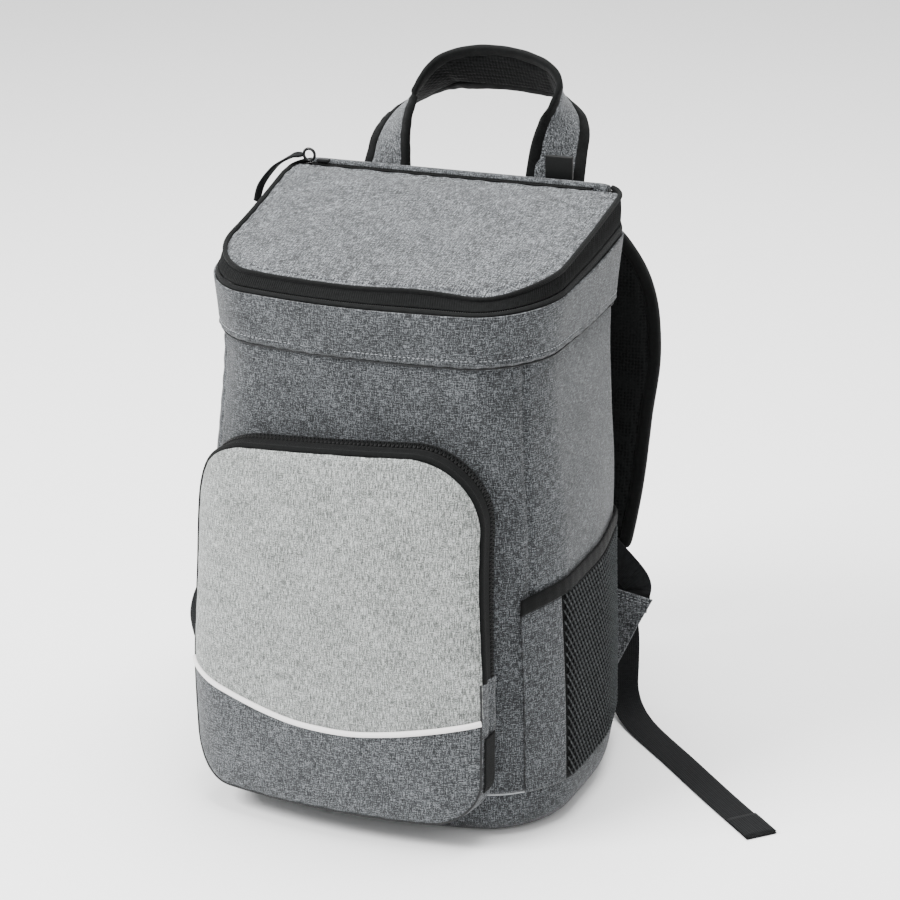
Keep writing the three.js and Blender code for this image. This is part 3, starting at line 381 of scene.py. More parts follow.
def plan_point(step, section, offset=0.0, inset=0.0):
    """Plan outline: 0 back middle, 1 to 2 right back corner, 3 to 4 right front corner, 5 front middle.

    The straight stretches are even in the step and the corners are quarter circles; the front bulges forwards
    by a parabola, the sides swell by another, and the soft left front corner is tucked in near the top.
    """
    turn = np.mod(step, 10)
    left = turn > 5
    t = np.where(left, 10 - turn, turn)
    half = BODY_HALF_WIDTH * section["half"] + offset
    front = BODY_FRONT * section["front"] + offset - inset
    back = BODY_BACK + offset
    back_radius = BACK_CORNER * section["corner"] + offset
    front_radius = FRONT_CORNER + offset
    rear = np.clip((2 - t) * math.pi / 2, 0, math.pi / 2)
    fore = np.clip((t - 3) * math.pi / 2, 0, math.pi / 2)
    x = np.where(t <= 1, mix(0, half - back_radius, t), half - back_radius + back_radius * np.cos(rear))
    y = np.where(t <= 1, back, back - back_radius + back_radius * np.sin(rear))
    x = np.where(t > 2, half, x)
    y = np.where(t > 2, mix(back - back_radius, front_radius - front, t - 2), y)
    x = np.where(t > 3, half - front_radius + front_radius * np.cos(fore), x)
    y = np.where(t > 3, front_radius - front - front_radius * np.sin(fore), y)
    x = np.where(t > 4, mix(half - front_radius, 0, t - 4), x)
    y = np.where(t > 4, -front, y)
    ahead = np.clip((back - y) / (back + front), 0, 1)
    taper = 1 + (section["back"] / section["half"] - 1) * (1 - smooth(ahead * 2))
    swell = SIDE_BULGE * section["side"] * 4 * ahead * (1 - ahead) * (x / half)
    bulge = FRONT_BULGE * section["bulge"] * (1 - (x / half) ** 2) * ahead
    x = x * taper + swell
    tuck = LEFT_TUCK * section["tuck"] * np.sin(math.pi * np.clip((4 - t) / 1.9, 0, 1))
    x = np.where(left, -(x - tuck), x)
    return x, y - bulge


def rim_at(y):
    return RIM_HEIGHT + RIM_SLOPE * (y + BODY_FRONT)


def lid_edge_at(y):
    return RIM_HEIGHT + BAND_HEIGHT + LID_SLOPE * (y + BODY_FRONT)


def stack(x, y, z):
    """Places from three arrays that broadcast together."""
    return np.stack(np.broadcast_arrays(x, y, z), -1)


def body_point(step, z, offset=0.0):
    """A place on the body's side at a height."""
    section = section_at(z / COLLAR_HEIGHT)
    x, y = plan_point(step, section, offset)
    return stack(x, y, z)


def shell_point(step, level, offset=0.0):
    """Like body_point, but level is 0 at the floor, 1 at the collar seam and 2 at the rim."""
    above = np.clip(level - 1, 0, 1)
    share = np.minimum(level, 1) + above * 0.12
    x, y = plan_point(step, section_at(share), offset)
    z = np.where(level <= 1, COLLAR_HEIGHT * level, mix(COLLAR_HEIGHT, rim_at(y), above))
    return stack(x, y, z)


def edge_wave(x, y):
    """The stuffed lid hangs over the band at its right front corner and lifts a little beside that."""
    front = smooth((-y - 40) / 60)
    return front * (1.6 * bump_at(x - 42, 26) - 3.2 * bump_at(x - 98, 26))


def band_point(step, up, offset=0.0):
    """A place on the band between the rim (0) and the lid's edge (1)."""
    x, y = plan_point(step, mixed_section(up), offset)
    return stack(x, y, mix(rim_at(y) + GAP, lid_edge_at(y) + edge_wave(x, y), up))


def front_y(x, z):
    """Front surface of the body at a place across and up."""
    section = section_at(z / COLLAR_HEIGHT)
    half = BODY_HALF_WIDTH * section["half"]
    front = BODY_FRONT * section["front"]
    past = np.maximum(0, np.abs(x) - (half - FRONT_CORNER))
    y = FRONT_CORNER - front - np.sqrt(np.maximum(0, FRONT_CORNER**2 - past**2))
    ahead = np.clip((BODY_BACK - y) / (BODY_BACK + front), 0, 1)
    return y - FRONT_BULGE * section["bulge"] * (1 - (x / half) ** 2) * ahead


# Meshes
def unit(vectors):
    length = np.linalg.norm(vectors, axis=-1, keepdims=True)
    return vectors / np.maximum(length, 1e-9)


def make_mesh(name, points, faces, materials, face_uv=None, slots=None, smooth_faces=True):
    """An object from places in millimetres, its faces turned to look outwards from the middle of the bag."""
    points = np.asarray(points, float).reshape(-1, 3)
    corners = [points[faces[:, k]] for k in range(3)]
    turned = np.cross(corners[1] - corners[0], corners[2] - corners[0])
    facing = (turned * (corners[0] - BAG_MIDDLE)).sum()
    if facing < 0:
        faces = faces[:, ::-1]
        face_uv = None if face_uv is None else face_uv[:, ::-1]
    mesh = bpy.data.meshes.new(name)
    mesh.vertices.add(len(points))
    mesh.vertices.foreach_set("co", (points * MM).ravel())
    size = faces.shape[1]
    mesh.loops.add(faces.size)
    mesh.loops.foreach_set("vertex_index", faces.ravel().astype(np.int32))
    mesh.polygons.add(len(faces))
    mesh.polygons.foreach_set("loop_start", np.arange(0, faces.size, size, dtype=np.int32))
    mesh.polygons.foreach_set("use_smooth", np.full(len(faces), smooth_faces))
    if face_uv is not None:
        layer = mesh.uv_layers.new(name="cloth")
        layer.data.foreach_set("uv", (face_uv * MM).ravel())
    for material in materials if isinstance(materials, (list, tuple)) else [materials]:
        mesh.materials.append(material)
    if slots is not None:
        mesh.polygons.foreach_set("material_index", slots.astype(np.int32))
    mesh.update(calc_edges=True)
    mesh.validate()
    item = bpy.data.objects.new(name, mesh)
    bpy.context.scene.collection.objects.link(item)
    return item


def grid_uv(points, wrap):
    """Pattern places in millimetres: arc length along the middle row and the middle column."""
    rows, cols = points.shape[:2]
    ring = points[rows // 2]
    if wrap:
        ring = np.concatenate([ring, ring[:1]])
    across = np.concatenate([[0], np.cumsum(np.linalg.norm(np.diff(ring, axis=0), axis=1))])
    line = points[:, cols // 2]
    along = np.concatenate([[0], np.cumsum(np.linalg.norm(np.diff(line, axis=0), axis=1))])
    u, v = np.meshgrid(across, along)
    return np.stack([u, v], -1)


def grid(name, points, materials, wrap=False, uv=None, closed_rows=False, caps=False, slots=None):
    """A surface through rows and columns of places; wrap joins the last column to the first."""
    rows, cols = points.shape[:2]
    uv = grid_uv(points, wrap) if uv is None else uv
    r_count = rows if closed_rows else rows - 1
    r, c = np.meshgrid(np.arange(r_count), np.arange(cols if wrap else cols - 1), indexing="ij")
    r, c = r.ravel(), c.ravel()
    below, beside = (r + 1) % rows, (c + 1) % cols
    faces = np.stack([r * cols + c, r * cols + beside, below * cols + beside, below * cols + c], -1)
    uv_below = np.minimum(r + 1, uv.shape[0] - 1)
    uv_beside = np.minimum(c + 1, uv.shape[1] - 1)
    face_uv = np.stack([uv[r, c], uv[r, uv_beside], uv[uv_below, uv_beside], uv[uv_below, c]], 1)
    if caps:
        faces, face_uv = add_caps(faces, face_uv, rows, cols, uv)
    if slots is not None:
        extra = np.full(len(faces) - len(r), slots.ravel()[0])
        slots = np.concatenate([slots.ravel(), extra])
    return make_mesh(name, points, faces, materials, face_uv, slots)


def add_caps(faces, face_uv, rows, cols, uv):
    """Closes both end rows of a tube with strips of four-sided faces across them."""
    i = np.arange(cols // 2 - 1)
    strip = np.stack([i, i + 1, cols - 2 - i, cols - 1 - i], -1)
    last = (rows - 1) * cols
    ends = np.concatenate([strip[:, ::-1], strip + last])
    end_uv = uv.reshape(-1, 2)[np.minimum(ends, uv.shape[0] * uv.shape[1] - 1)]
    return np.concatenate([faces, ends]), np.concatenate([face_uv, end_uv])


def path_frames(path, hint):
    """Directions along, across and out of a path; hint points roughly outwards."""
    along = unit(np.gradient(path, axis=0))
    across = unit(np.cross(along, hint))
    out = unit(np.cross(across, along))
    return along, across, out


def resample(path, pitch):
    """Even places along a path, about pitch apart."""
    steps = np.linalg.norm(np.diff(path, axis=0), axis=1)
    length = np.concatenate([[0], np.cumsum(steps)])
    count = max(3, int(round(length[-1] / pitch)) + 1)
    wanted = np.linspace(0, length[-1], count)
    return np.stack([np.interp(wanted, length, path[:, k]) for k in range(3)], -1)


def tube(name, path, radius, material, hint=(0.0, 0.0, 1.0), sides=10, squash=1.0, closed=False):
    """A round cord of trim along a path, squash times as thick outwards as across."""
    hint = np.broadcast_to(np.asarray(hint, float), path.shape)
    _, across, out = path_frames(path, hint)
    angle = (np.arange(sides) + 0.5) / sides * 2 * math.pi
    wide = across[:, None] * np.cos(angle)[None, :, None]
    high = squash * out[:, None] * np.sin(angle)[None, :, None]
    ring = wide + high
    radius = np.broadcast_to(radius, len(path))[:, None, None]
    points = path[:, None] + ring * radius
    return grid(name, points, material, wrap=True, caps=not closed, closed_rows=closed)


def band_frames(centres, widths_hint):
    """Exact directions of a band of cloth: along it, across its width and out of its face."""
    along = unit(np.gradient(centres, axis=0))
    normal = unit(np.cross(along, widths_hint))
    across = unit(np.cross(normal, along))
    return along, across, normal


def band(name, centres, hint, profile, material, widths=1.0, slots=None):
    """A closed band whose cross-section is a profile of places across its width and out of its face."""
    _, across, normal = band_frames(centres, hint)
    widths = np.broadcast_to(widths, len(centres))
    profile = np.asarray(profile, float)
    points = (
        centres[:, None]
        + across[:, None] * (profile[None, :, :1] * widths[:, None, None])
        + normal[:, None] * profile[None, :, 1:]
    )
    return grid(name, points, material, wrap=True, caps=True, slots=slots)


def flat_profile(width, thickness, count=9):
    """A flat strip with rounded edges: a superellipse of power 6 across and 2 out of the face."""
    angle = (np.arange(4 * count) + 0.5) / (4 * count) * 2 * math.pi
    across = np.sign(np.cos(angle)) * np.abs(np.cos(angle)) ** 0.35 * width / 2
    out = np.sign(np.sin(angle)) * np.abs(np.sin(angle)) ** 0.6 * thickness / 2
    return np.stack([across, out], -1)


def solid(item, thickness):
    """Gives a sheet its cloth's thickness, inwards from the shown face."""
    wall = item.modifiers.new("thickness", "SOLIDIFY")
    wall.thickness = thickness * MM
    wall.offset = -1
    return item


def stitches(name, path, normals, material, pitch=3.4, length=2.3, width=0.55, rise=0.25):
    """A row of sewn stitches: short flat diamonds of thread along a path, a little proud of the cloth."""
    even = resample(path, pitch)
    out = resample_like(path, normals, len(even))
    along = unit(np.gradient(even, axis=0))
    across = unit(np.cross(along, out))
    ring = [
        -0.5 * length * along,
        -0.3 * length * along + 0.5 * width * across,
        0.3 * length * along + 0.5 * width * across,
        0.5 * length * along,
        0.3 * length * along - 0.5 * width * across,
        -0.3 * length * along - 0.5 * width * across,
    ]
    low = np.stack([even + part - 0.2 * out for part in ring], 1)
    high = np.stack([even + part * 0.8 + rise * out for part in ring], 1)
    count = len(even)
    points = np.concatenate([low, high], 1)
    start = (np.arange(count) * 12)[:, None, None]
    k = np.arange(6)
    sides = np.stack([k, (k + 1) % 6, (k + 1) % 6 + 6, k + 6], -1)
    top = np.array([[6, 7, 8, 9], [9, 10, 11, 6]])
    bottom = np.array([[3, 2, 1, 0], [0, 5, 4, 3]])
    faces = (np.concatenate([sides, top, bottom])[None] + start).reshape(-1, 4)
    return make_mesh(name, points, faces, material)


def resample_like(path, values, count):
    """Values along a path at count even places."""
    steps = np.linalg.norm(np.diff(path, axis=0), axis=1)
    length = np.concatenate([[0], np.cumsum(steps)])
    wanted = np.linspace(0, length[-1], count)
    values = np.broadcast_to(values, path.shape)
    return unit(np.stack([np.interp(wanted, length, values[:, k]) for k in range(3)], -1))


def join(name, *items):
    """One object out of several that belong together."""
    for other in bpy.context.selected_objects:
        other.select_set(False)
    for item in items:
        item.select_set(True)
    bpy.context.view_layer.objects.active = items[0]
    bpy.ops.object.convert(target="MESH")
    bpy.ops.object.join()
    items[0].name = name
    return items[0]


def keep(item, slot, *nodes):
    """Ties a finished piece to the frame and hides the CAD nodes it stands for; slot is not used."""
    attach(item, "root")
    if nodes:
        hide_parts(*nodes)
    return item


# Materials
def linear(hex_colour):
    """A screen colour as linear light."""
    parts = [int(hex_colour[i:i + 2], 16) / 255 for i in (1, 3, 5)]
    return [p / 12.92 if p <= 0.04045 else ((p + 0.055) / 1.055) ** 2.4 for p in parts] + [1.0]


def add(tree, kind, inputs=None, **settings):
    """One node, its settings and its inputs, each a value or another node's output."""
    node = tree.nodes.new(kind)
    for name, value in settings.items():
        setattr(node, name, value)
    for name, value in (inputs or {}).items():
        if isinstance(value, bpy.types.NodeSocket):
            tree.links.new(value, node.inputs[name])
        else:
            node.inputs[name].default_value = value
    return node


def new_material(name):
    material = bpy.data.materials.new(name)
    material.use_nodes = True
    tree = material.node_tree
    tree.nodes.clear()
    surface = tree.nodes.new("ShaderNodeBsdfPrincipled")
    output = tree.nodes.new("ShaderNodeOutputMaterial")
    tree.links.new(surface.outputs[0], output.inputs[0])
    return material, tree, surface


def coordinates(tree, on_uv):
    source = add(tree, "ShaderNodeTexCoord")
    if on_uv:
        return add(tree, "ShaderNodeUVMap", uv_map="cloth").outputs[0]
    return source.outputs["Object"]


def stretched_noise(tree, where, size, detail=2.0, roughness=0.6):
    """Noise whose blots are size long in metres in each direction."""
    scale = [1 / part for part in size]
    place = add(tree, "ShaderNodeMapping", {"Vector": where, "Scale": scale})
    inputs = {"Vector": place.outputs[0], "Scale": 1.0, "Detail": detail, "Roughness": roughness}
    return add(tree, "ShaderNodeTexNoise", inputs).outputs["Fac"]


def ramp(tree, value, *stops):
    node = add(tree, "ShaderNodeValToRGB", {"Fac": value})
    while len(node.color_ramp.elements) < len(stops):
        node.color_ramp.elements.new(0.5)
    for element, (place, colour) in zip(node.color_ramp.elements, stops):
        element.position = place
        element.color = colour
    return node.outputs[0]


def maths(tree, operation, a, b):
    node = add(tree, "ShaderNodeMath", operation=operation)
    for socket, value in zip(node.inputs, (a, b)):
        if isinstance(value, bpy.types.NodeSocket):
            tree.links.new(value, socket)
        else:
            socket.default_value = value
    return node.outputs[0]


def weave_bump(tree, where, thread, strength, distance):
    """Fine over-and-under of threads, thread apart in metres."""
    waves = []
    for direction in ("X", "Y"):
        place = add(tree, "ShaderNodeMapping", {"Vector": where, "Scale": [1 / thread] * 3})
        inputs = {"Vector": place.outputs[0], "Scale": 0.314, "Distortion": 0.6, "Detail": 1.0}
        waves.append(add(tree, "ShaderNodeTexWave", inputs, bands_direction=direction).outputs["Fac"])
    height = maths(tree, "MULTIPLY", waves[0], waves[1])
    settings = {"Height": height, "Strength": strength, "Distance": distance}
    return add(tree, "ShaderNodeBump", settings).outputs[0]


THREAD = 0.0009
SLUB_WIDTH = 0.0007
SLUB_LENGTH = 0.006


def heather(name, dark, middle, light, on_uv=True, size=1.0, upright=1.0):
    """Heather polyester: light and dark slubs both ways over a mid grey, matt, with a fine plain weave."""
    material, tree, surface = new_material(name)
    where = coordinates(tree, on_uv)
    wide, long, thread = SLUB_WIDTH * size, SLUB_LENGTH * size, THREAD * size
    standing = stretched_noise(tree, where, (wide, long if on_uv else wide, long))
    level = stretched_noise(tree, where, (long, wide, wide))
    speck = stretched_noise(tree, where, (thread, thread, thread), detail=1.0)
    patches = stretched_noise(tree, where, (0.03, 0.03, 0.03), detail=3.0)
    shares = 0.36 * upright, 0.36 * (2 - upright)
    standing = maths(tree, "MULTIPLY", standing, shares[0])
    level = maths(tree, "MULTIPLY", level, shares[1])
    both = maths(tree, "ADD", standing, level)
    total = maths(tree, "ADD", both, maths(tree, "MULTIPLY", speck, 0.4))
    total = maths(tree, "ADD", total, maths(tree, "MULTIPLY", maths(tree, "SUBTRACT", patches, 0.5), 0.09))
    spread = 0.1
    middle_at = 0.56
    stops = (
        (middle_at - spread, linear(dark)),
        (middle_at, linear(middle)),
        (middle_at + spread, linear(light)),
    )
    tree.links.new(ramp(tree, total, *stops), surface.inputs["Base Color"])
    surface.inputs["Roughness"].default_value = 0.92
    surface.inputs["Sheen Weight"].default_value = 0.12
    surface.inputs["Specular IOR Level"].default_value = 0.2
    tree.links.new(weave_bump(tree, where, THREAD, 0.5, 0.0003), surface.inputs["Normal"])
    return material


def black_cloth(name, colour, thread, roughness=0.75, on_uv=True, strength=0.8):
    """Woven black tape: near black with a plain weave that catches a little light."""
    material, tree, surface = new_material(name)
    where = coordinates(tree, on_uv)
    patches = stretched_noise(tree, where, (0.006, 0.002, 0.002), detail=2.0)
    dark = [part * 0.7 for part in linear(colour)[:3]] + [1.0]
    light = [part * 1.35 for part in linear(colour)[:3]] + [1.0]
    tree.links.new(ramp(tree, patches, (0.3, dark), (0.7, light)), surface.inputs["Base Color"])
    surface.inputs["Roughness"].default_value = roughness
    surface.inputs["Sheen Weight"].default_value = 0.03
    surface.inputs["Specular IOR Level"].default_value = 0.07
    tree.links.new(weave_bump(tree, where, thread, strength, 0.0004), surface.inputs["Normal"])
    return material


def air_mesh(name, colour, cell=0.0026):
    """Knitted spacer mesh: small round holes in black knit, painted darker inside as shade in the holes."""
    material, tree, surface = new_material(name)
    where = coordinates(tree, False)
    place = add(tree, "ShaderNodeMapping", {"Vector": where, "Scale": [1 / cell] * 3})
    inputs = {"Vector": place.outputs[0], "Scale": 1.0, "Randomness": 0.25}
    cells = add(tree, "ShaderNodeTexVoronoi", inputs).outputs["Distance"]
    # hole: the knit's colour at 0.35 in each cell's middle, painted shade inside the holes
    hole = [part * 0.35 for part in linear(colour)[:3]] + [1.0]
    knit = [part * 1.3 for part in linear(colour)[:3]] + [1.0]
    tree.links.new(ramp(tree, cells, (0.25, hole), (0.5, knit)), surface.inputs["Base Color"])
    surface.inputs["Roughness"].default_value = 0.85
    surface.inputs["Sheen Weight"].default_value = 0.02
    surface.inputs["Specular IOR Level"].default_value = 0.07
    bump = add(tree, "ShaderNodeBump", {"Height": cells, "Strength": 0.9, "Distance": 0.0012}).outputs[0]
    tree.links.new(bump, surface.inputs["Normal"])
    return material


def smooth_plastic(name, colour, roughness):
    """Moulded or enamelled trim: plain colour with a fine uneven gloss."""
    material, tree, surface = new_material(name)
    where = coordinates(tree, False)
    grain = stretched_noise(tree, where, (0.001, 0.001, 0.001), detail=2.0)
    surface.inputs["Base Color"].default_value = linear(colour)
    surface.inputs["Specular IOR Level"].default_value = 0.25
    rough = maths(tree, "ADD", maths(tree, "MULTIPLY", grain, 0.12), roughness - 0.06)
    tree.links.new(rough, surface.inputs["Roughness"])
    bump = add(tree, "ShaderNodeBump", {"Height": grain, "Strength": 0.08, "Distance": 0.0002}).outputs[0]
    tree.links.new(bump, surface.inputs["Normal"])
    return material


body_cloth = heather("body heather polyester", "#111213", "#2c2e30", "#686b6e")
body_cloth_sewn = heather("strap heather polyester", "#1d1e1f", "#404244", "#7a7d80", on_uv=False)
lid_cloth = heather("lid heather polyester", "#111213", "#343638", "#787b7e", size=1.3)
yoke_cloth = heather("dark heather polyester", "#161718", "#343638", "#6f7275")
panel_cloth = heather("light heather polyester", "#454846", "#737674", "#a9acaa", upright=1.4)
webbing_cloth = black_cloth("black polypropylene webbing", "#0f1011", 0.0018)
binding_cloth = black_cloth("black polyester binding", "#0b0c0c", 0.0009)
tape_cloth = black_cloth("black zip tape", "#0d0e0e", 0.0008)
grey_webbing = black_cloth("dark grey binding cloth", "#1b1c1d", 0.0012)
mesh_cloth = air_mesh("black spacer mesh", "#0c0d0d")
net_cord = black_cloth("black pocket net", "#151617", 0.0008, on_uv=False)
net_ground = black_cloth("black pocket lining", "#080909", 0.0008)
# Light grey of the net's loops: a painted highlight on the black knit, not a yarn colour
net_highlight_cloth = black_cloth("net loops with painted grey highlight", "#454849", 0.0006, on_uv=False)
plastic = smooth_plastic("black moulded plastic", "#0c0d0d", 0.38)
coil = smooth_plastic("black nylon coil", "#0c0d0d", 0.42)
enamel = smooth_plastic("black enamelled metal", "#101112", 0.25)
pale_cord = smooth_plastic("white reflective piping", "#dddbda", 0.5)
thread_grey = smooth_plastic("grey sewing thread", "#8d9093", 0.7)
# Real black seams, and also painted shadow lines under the collar's fold and at the pocket's foot
black_thread_and_shadow = smooth_plastic("black sewing thread and painted shadow lines", "#191a1b", 0.6)
lining = smooth_plastic("silver foil lining", "#b9bcbe", 0.35)

random = np.random.default_rng(7)


def ripple(step, z, seed):
    """Soft unevenness of filled cloth: a few long waves across the surface, up to about 1 high."""
    waves = np.random.default_rng(seed)
    total = 0.0
    for _ in range(6):
        a, b, phase = waves.uniform(0.6, 2.4), waves.uniform(0.008, 0.03), waves.uniform(0, 6.3)
        total = total + np.sin(a * step * 2 + b * z * waves.choice([-1, 1]) + phase)
    return total / 6


def seam_step(z, side=1):
    """Where the upright seam between front and side runs."""
    at = mix(3.59, 3.44, np.clip(z / COLLAR_HEIGHT, 0, 1))
    return at if side > 0 else 10 - at


def body_relief(step, z):
    """How far the outer cloth stands off the plain body: soft waves, seam grooves and puckers beside them."""
    relief = 0.9 * ripple(step, z, 3) - 0.9 * bump_at(z - COLLAR_HEIGHT + 1, 4)
    for side in (1, -1):
        near = (step - seam_step(z, side)) * 48
        relief = relief - 1.3 * bump_at(near, 1.5) + 0.5 * bump_at(np.abs(near) - 3.5, 2.5)
        relief = relief + 0.35 * np.sin(z / 2.6) * bump_at(near, 9)
    return relief


def steps_round(count, seams=(3.44, 3.52, 3.59)):
    """Even steps round the outline with more of them beside the seams."""
    even = np.linspace(0, 10, count, endpoint=False)
    fine = np.concatenate([s + np.linspace(-0.14, 0.14, 29) for s in seams])
    every = np.concatenate([even, fine, 10 - fine])
    return np.unique(np.round(every, 3))


def make_body():
    """Outer cloth from the base seam to the rim, turned over the rim into the foil lining."""
    steps = steps_round(220)
    foot = (BASE_SEAM_HEIGHT + 0.4) / COLLAR_HEIGHT
    levels = np.concatenate([np.linspace(foot, 1, 130), np.linspace(1.06, 2, 10)])
    relief = body_relief(steps[None], levels[:, None] * COLLAR_HEIGHT) * smooth((levels[:, None] - 0.09) * 30)
    outer = shell_point(steps[None], levels[:, None], relief)
    inner = shell_point(steps[None], levels[::-1, None][::4], -WALL)
    points = np.concatenate([outer, inner])
    slots = np.zeros((len(points), len(steps)), int)
    slots[len(levels):] = 1
    item = grid("body_cloth_shell", points, [body_cloth, lining], wrap=True, closed_rows=True, slots=slots)
    keep(item, "mid_heather", "body_wall")


def make_base():
    """Rounded tray: flat floor, rolled edge up to the base seam, lined inside."""
    steps = np.linspace(0, 10, 240, endpoint=False)
    angles = np.radians(np.linspace(90, 0, 14))
    rows = []
    for angle in angles:
        shrink = BASE_EDGE * (1 - math.cos(angle))
        z = BASE_EDGE * (1 - math.sin(angle))
        inset = BASE_EDGE * BASE_FRONT_TUCK * (1 - math.cos(angle))
        rows.append((z, -shrink, inset))
    rows += [(z, 0.0, 0.0) for z in (25.0, 28.0, 31.0)]
    rows += [(33.0, -0.3, 0.0), (BASE_SEAM_HEIGHT, -1.4, 0.0), (BASE_SEAM_HEIGHT, -WALL, 0.0)]
    rows += [(BASE_EDGE, -WALL - 1, 0.0), (WALL, -BASE_EDGE, 0.0)]
    loops = []
    for z, offset, inset in rows:
        x, y = plan_point(steps, section_at(np.array(z / COLLAR_HEIGHT)), offset, inset)
        loops.append(stack(x, y, z))
    middle = lambda z: np.stack([stack(loops[0][:, 0] * s, loops[0][:, 1] * s, z) for s in (0.02, 0.6)])
    points = np.concatenate([middle(0.0), np.stack(loops), middle(WALL)[::-1]])
    slots = np.zeros((len(points) - 1, len(steps)), int)
    slots[-6:] = 1
    item = grid("base_cloth_tray", points, [body_cloth, lining], wrap=True, caps=True, slots=slots)
    keep(item, "dark_heather", "base_tray")


def make_seams():
    """Sewn line between base and body at the back and sides, and stitches down the upright side seams."""
    for side in (1, -1):
        steps = np.linspace(1.3, 3.585, 160)
        steps = steps if side > 0 else 10 - steps
        line = body_point(steps, BASE_SEAM_HEIGHT + 0.2, 0.2)
        cord = tube("base_seam_cord", line, 0.9, black_thread_and_shadow, sides=6)
        z = np.linspace(26, COLLAR_HEIGHT - 3, 200)
        path = body_point(seam_step(z, side), z, body_relief(seam_step(z, side), z) + 0.15)
        sewn = stitches("side_seam_stitches", path, radial(path), black_thread_and_shadow, 5.2, 2.4, 0.7, 0.1)
        keep(join("body_seams", cord, sewn), "dark_heather")


def radial(path):
    """Directions straight out from the bag's upright middle line."""
    flat = path * np.array([1.0, 1.0, 0.0])
    return unit(flat)


make_body()
make_base()
make_seams()


def make_collar():
    """Folded cloth above the collar seam, its lower edge rolled under, with a row of top stitching and a
    black cord under the fold as a painted shadow line.
    """
    steps = np.linspace(1.5, 8.5, 400)
    ups = np.concatenate([np.linspace(0, 0.14, 10), np.linspace(0.18, 1, 22)])
    roll = COLLAR_OUT * (1 - 0.75 * (1 - smooth(ups / 0.07))) - 0.5 * bump_at(ups - 0.15, 0.035)
    fade = bump_at(ups[:, None] - 0.04, 0.12)
    waves = 0.35 * np.sin(steps[None] * 41 + 0.6 * np.sin(steps[None] * 13)) * fade
    relief = roll[:, None] + waves + 0.6 * ripple(steps[None], ups[:, None] * 40, 9)
    points = shell_point(steps[None], 1 + ups[:, None] * np.ones_like(steps)[None], np.maximum(relief, 0.5))
    item = solid(grid("collar_cloth", points, body_cloth), 1.2)
    keep(item, "mid_heather", "collar_panel")
    path = shell_point(steps, 1.15 + 0 * steps, COLLAR_OUT - 0.3)
    sewn = stitches("collar_stitches", path, radial(path), thread_grey)
    # A black cord just under the collar's lower edge: a painted shadow line beneath the fold
    line = body_point(steps, COLLAR_HEIGHT - 0.6, 0.9)
    shade = tube("collar_shadow_line", line, 0.7, black_thread_and_shadow, sides=6)
    keep(join("collar_stitches_and_shadow_line", sewn, shade), "mid_heather")


def make_lid_band():
    """Zip band under the lid: a smooth lower strip, a finely ribbed zip tape and a round piping above it."""
    steps = np.linspace(BAND_FROM, 10 - BAND_FROM, 500)
    ups = np.linspace(-0.02, 0.25, 9)
    crown = 1.4 + 0.8 * np.sin(math.pi * np.linspace(0, 1, 9))
    strip = band_point(steps[None], ups[:, None], crown[:, None])
    lower = solid(grid("lid_zip_lower_tape", strip, tape_cloth), 1.6)
    keep(lower, "black_webbing", "lid_zip_lower_strip")
    line = band_point(steps, 0.55, 0.0)
    length = np.concatenate([[0], np.cumsum(np.linalg.norm(np.diff(line, axis=0), axis=1))])
    count = int(length[-1] / RIB_PITCH) * 4
    fine = np.interp(np.linspace(0, length[-1], count), length, steps)
    ups = np.linspace(0.26, 0.9, 9)
    ribs = 0.3 * np.cos(np.arange(count) * math.pi / 2)
    soft = np.sin(math.pi * np.linspace(0, 1, 9)) ** 0.5
    ribbed = band_point(fine[None], ups[:, None], 0.7 + (0.3 + ribs[None]) * soft[:, None])
    tape = solid(grid("lid_zip_ribbed_tape", ribbed, tape_cloth), 1.4)
    keep(tape, "black_webbing", "lid_zip_tape")
    path = band_point(steps, 0.97, 0.2)
    piping = tube("lid_edge_cord", path, 1.9, binding_cloth, sides=10)
    keep(piping, "black_webbing", "lid_edge_piping")


def make_back_hem():
    """Cloth that joins the lid to the back, folded over the top edge behind the rear zip."""
    steps = np.linspace(-BAND_FROM + 0.02, BAND_FROM - 0.02, 120)
    profile = [(0.0, 0.0), (0.5, 0.2), (0.9, 0.0), (1.02, -1.0), (1.06, -2.6), (1.03, -4.6)]
    profile.append((0.98, -HEM_DEPTH))
    rows = [band_point(steps, up, offset) for up, offset in profile]
    inner = ((0.9, -HEM_DEPTH + 1.2), (0.1, -1.0))
    under = [band_point(steps, up - 0.1, offset - 1.2) for up, offset in inner]
    points = np.stack(rows + under)
    item = grid("back_hem_cloth", np.swapaxes(points, 0, 1), body_cloth, wrap=True, caps=True)
    keep(item, "mid_heather", "back_hem")


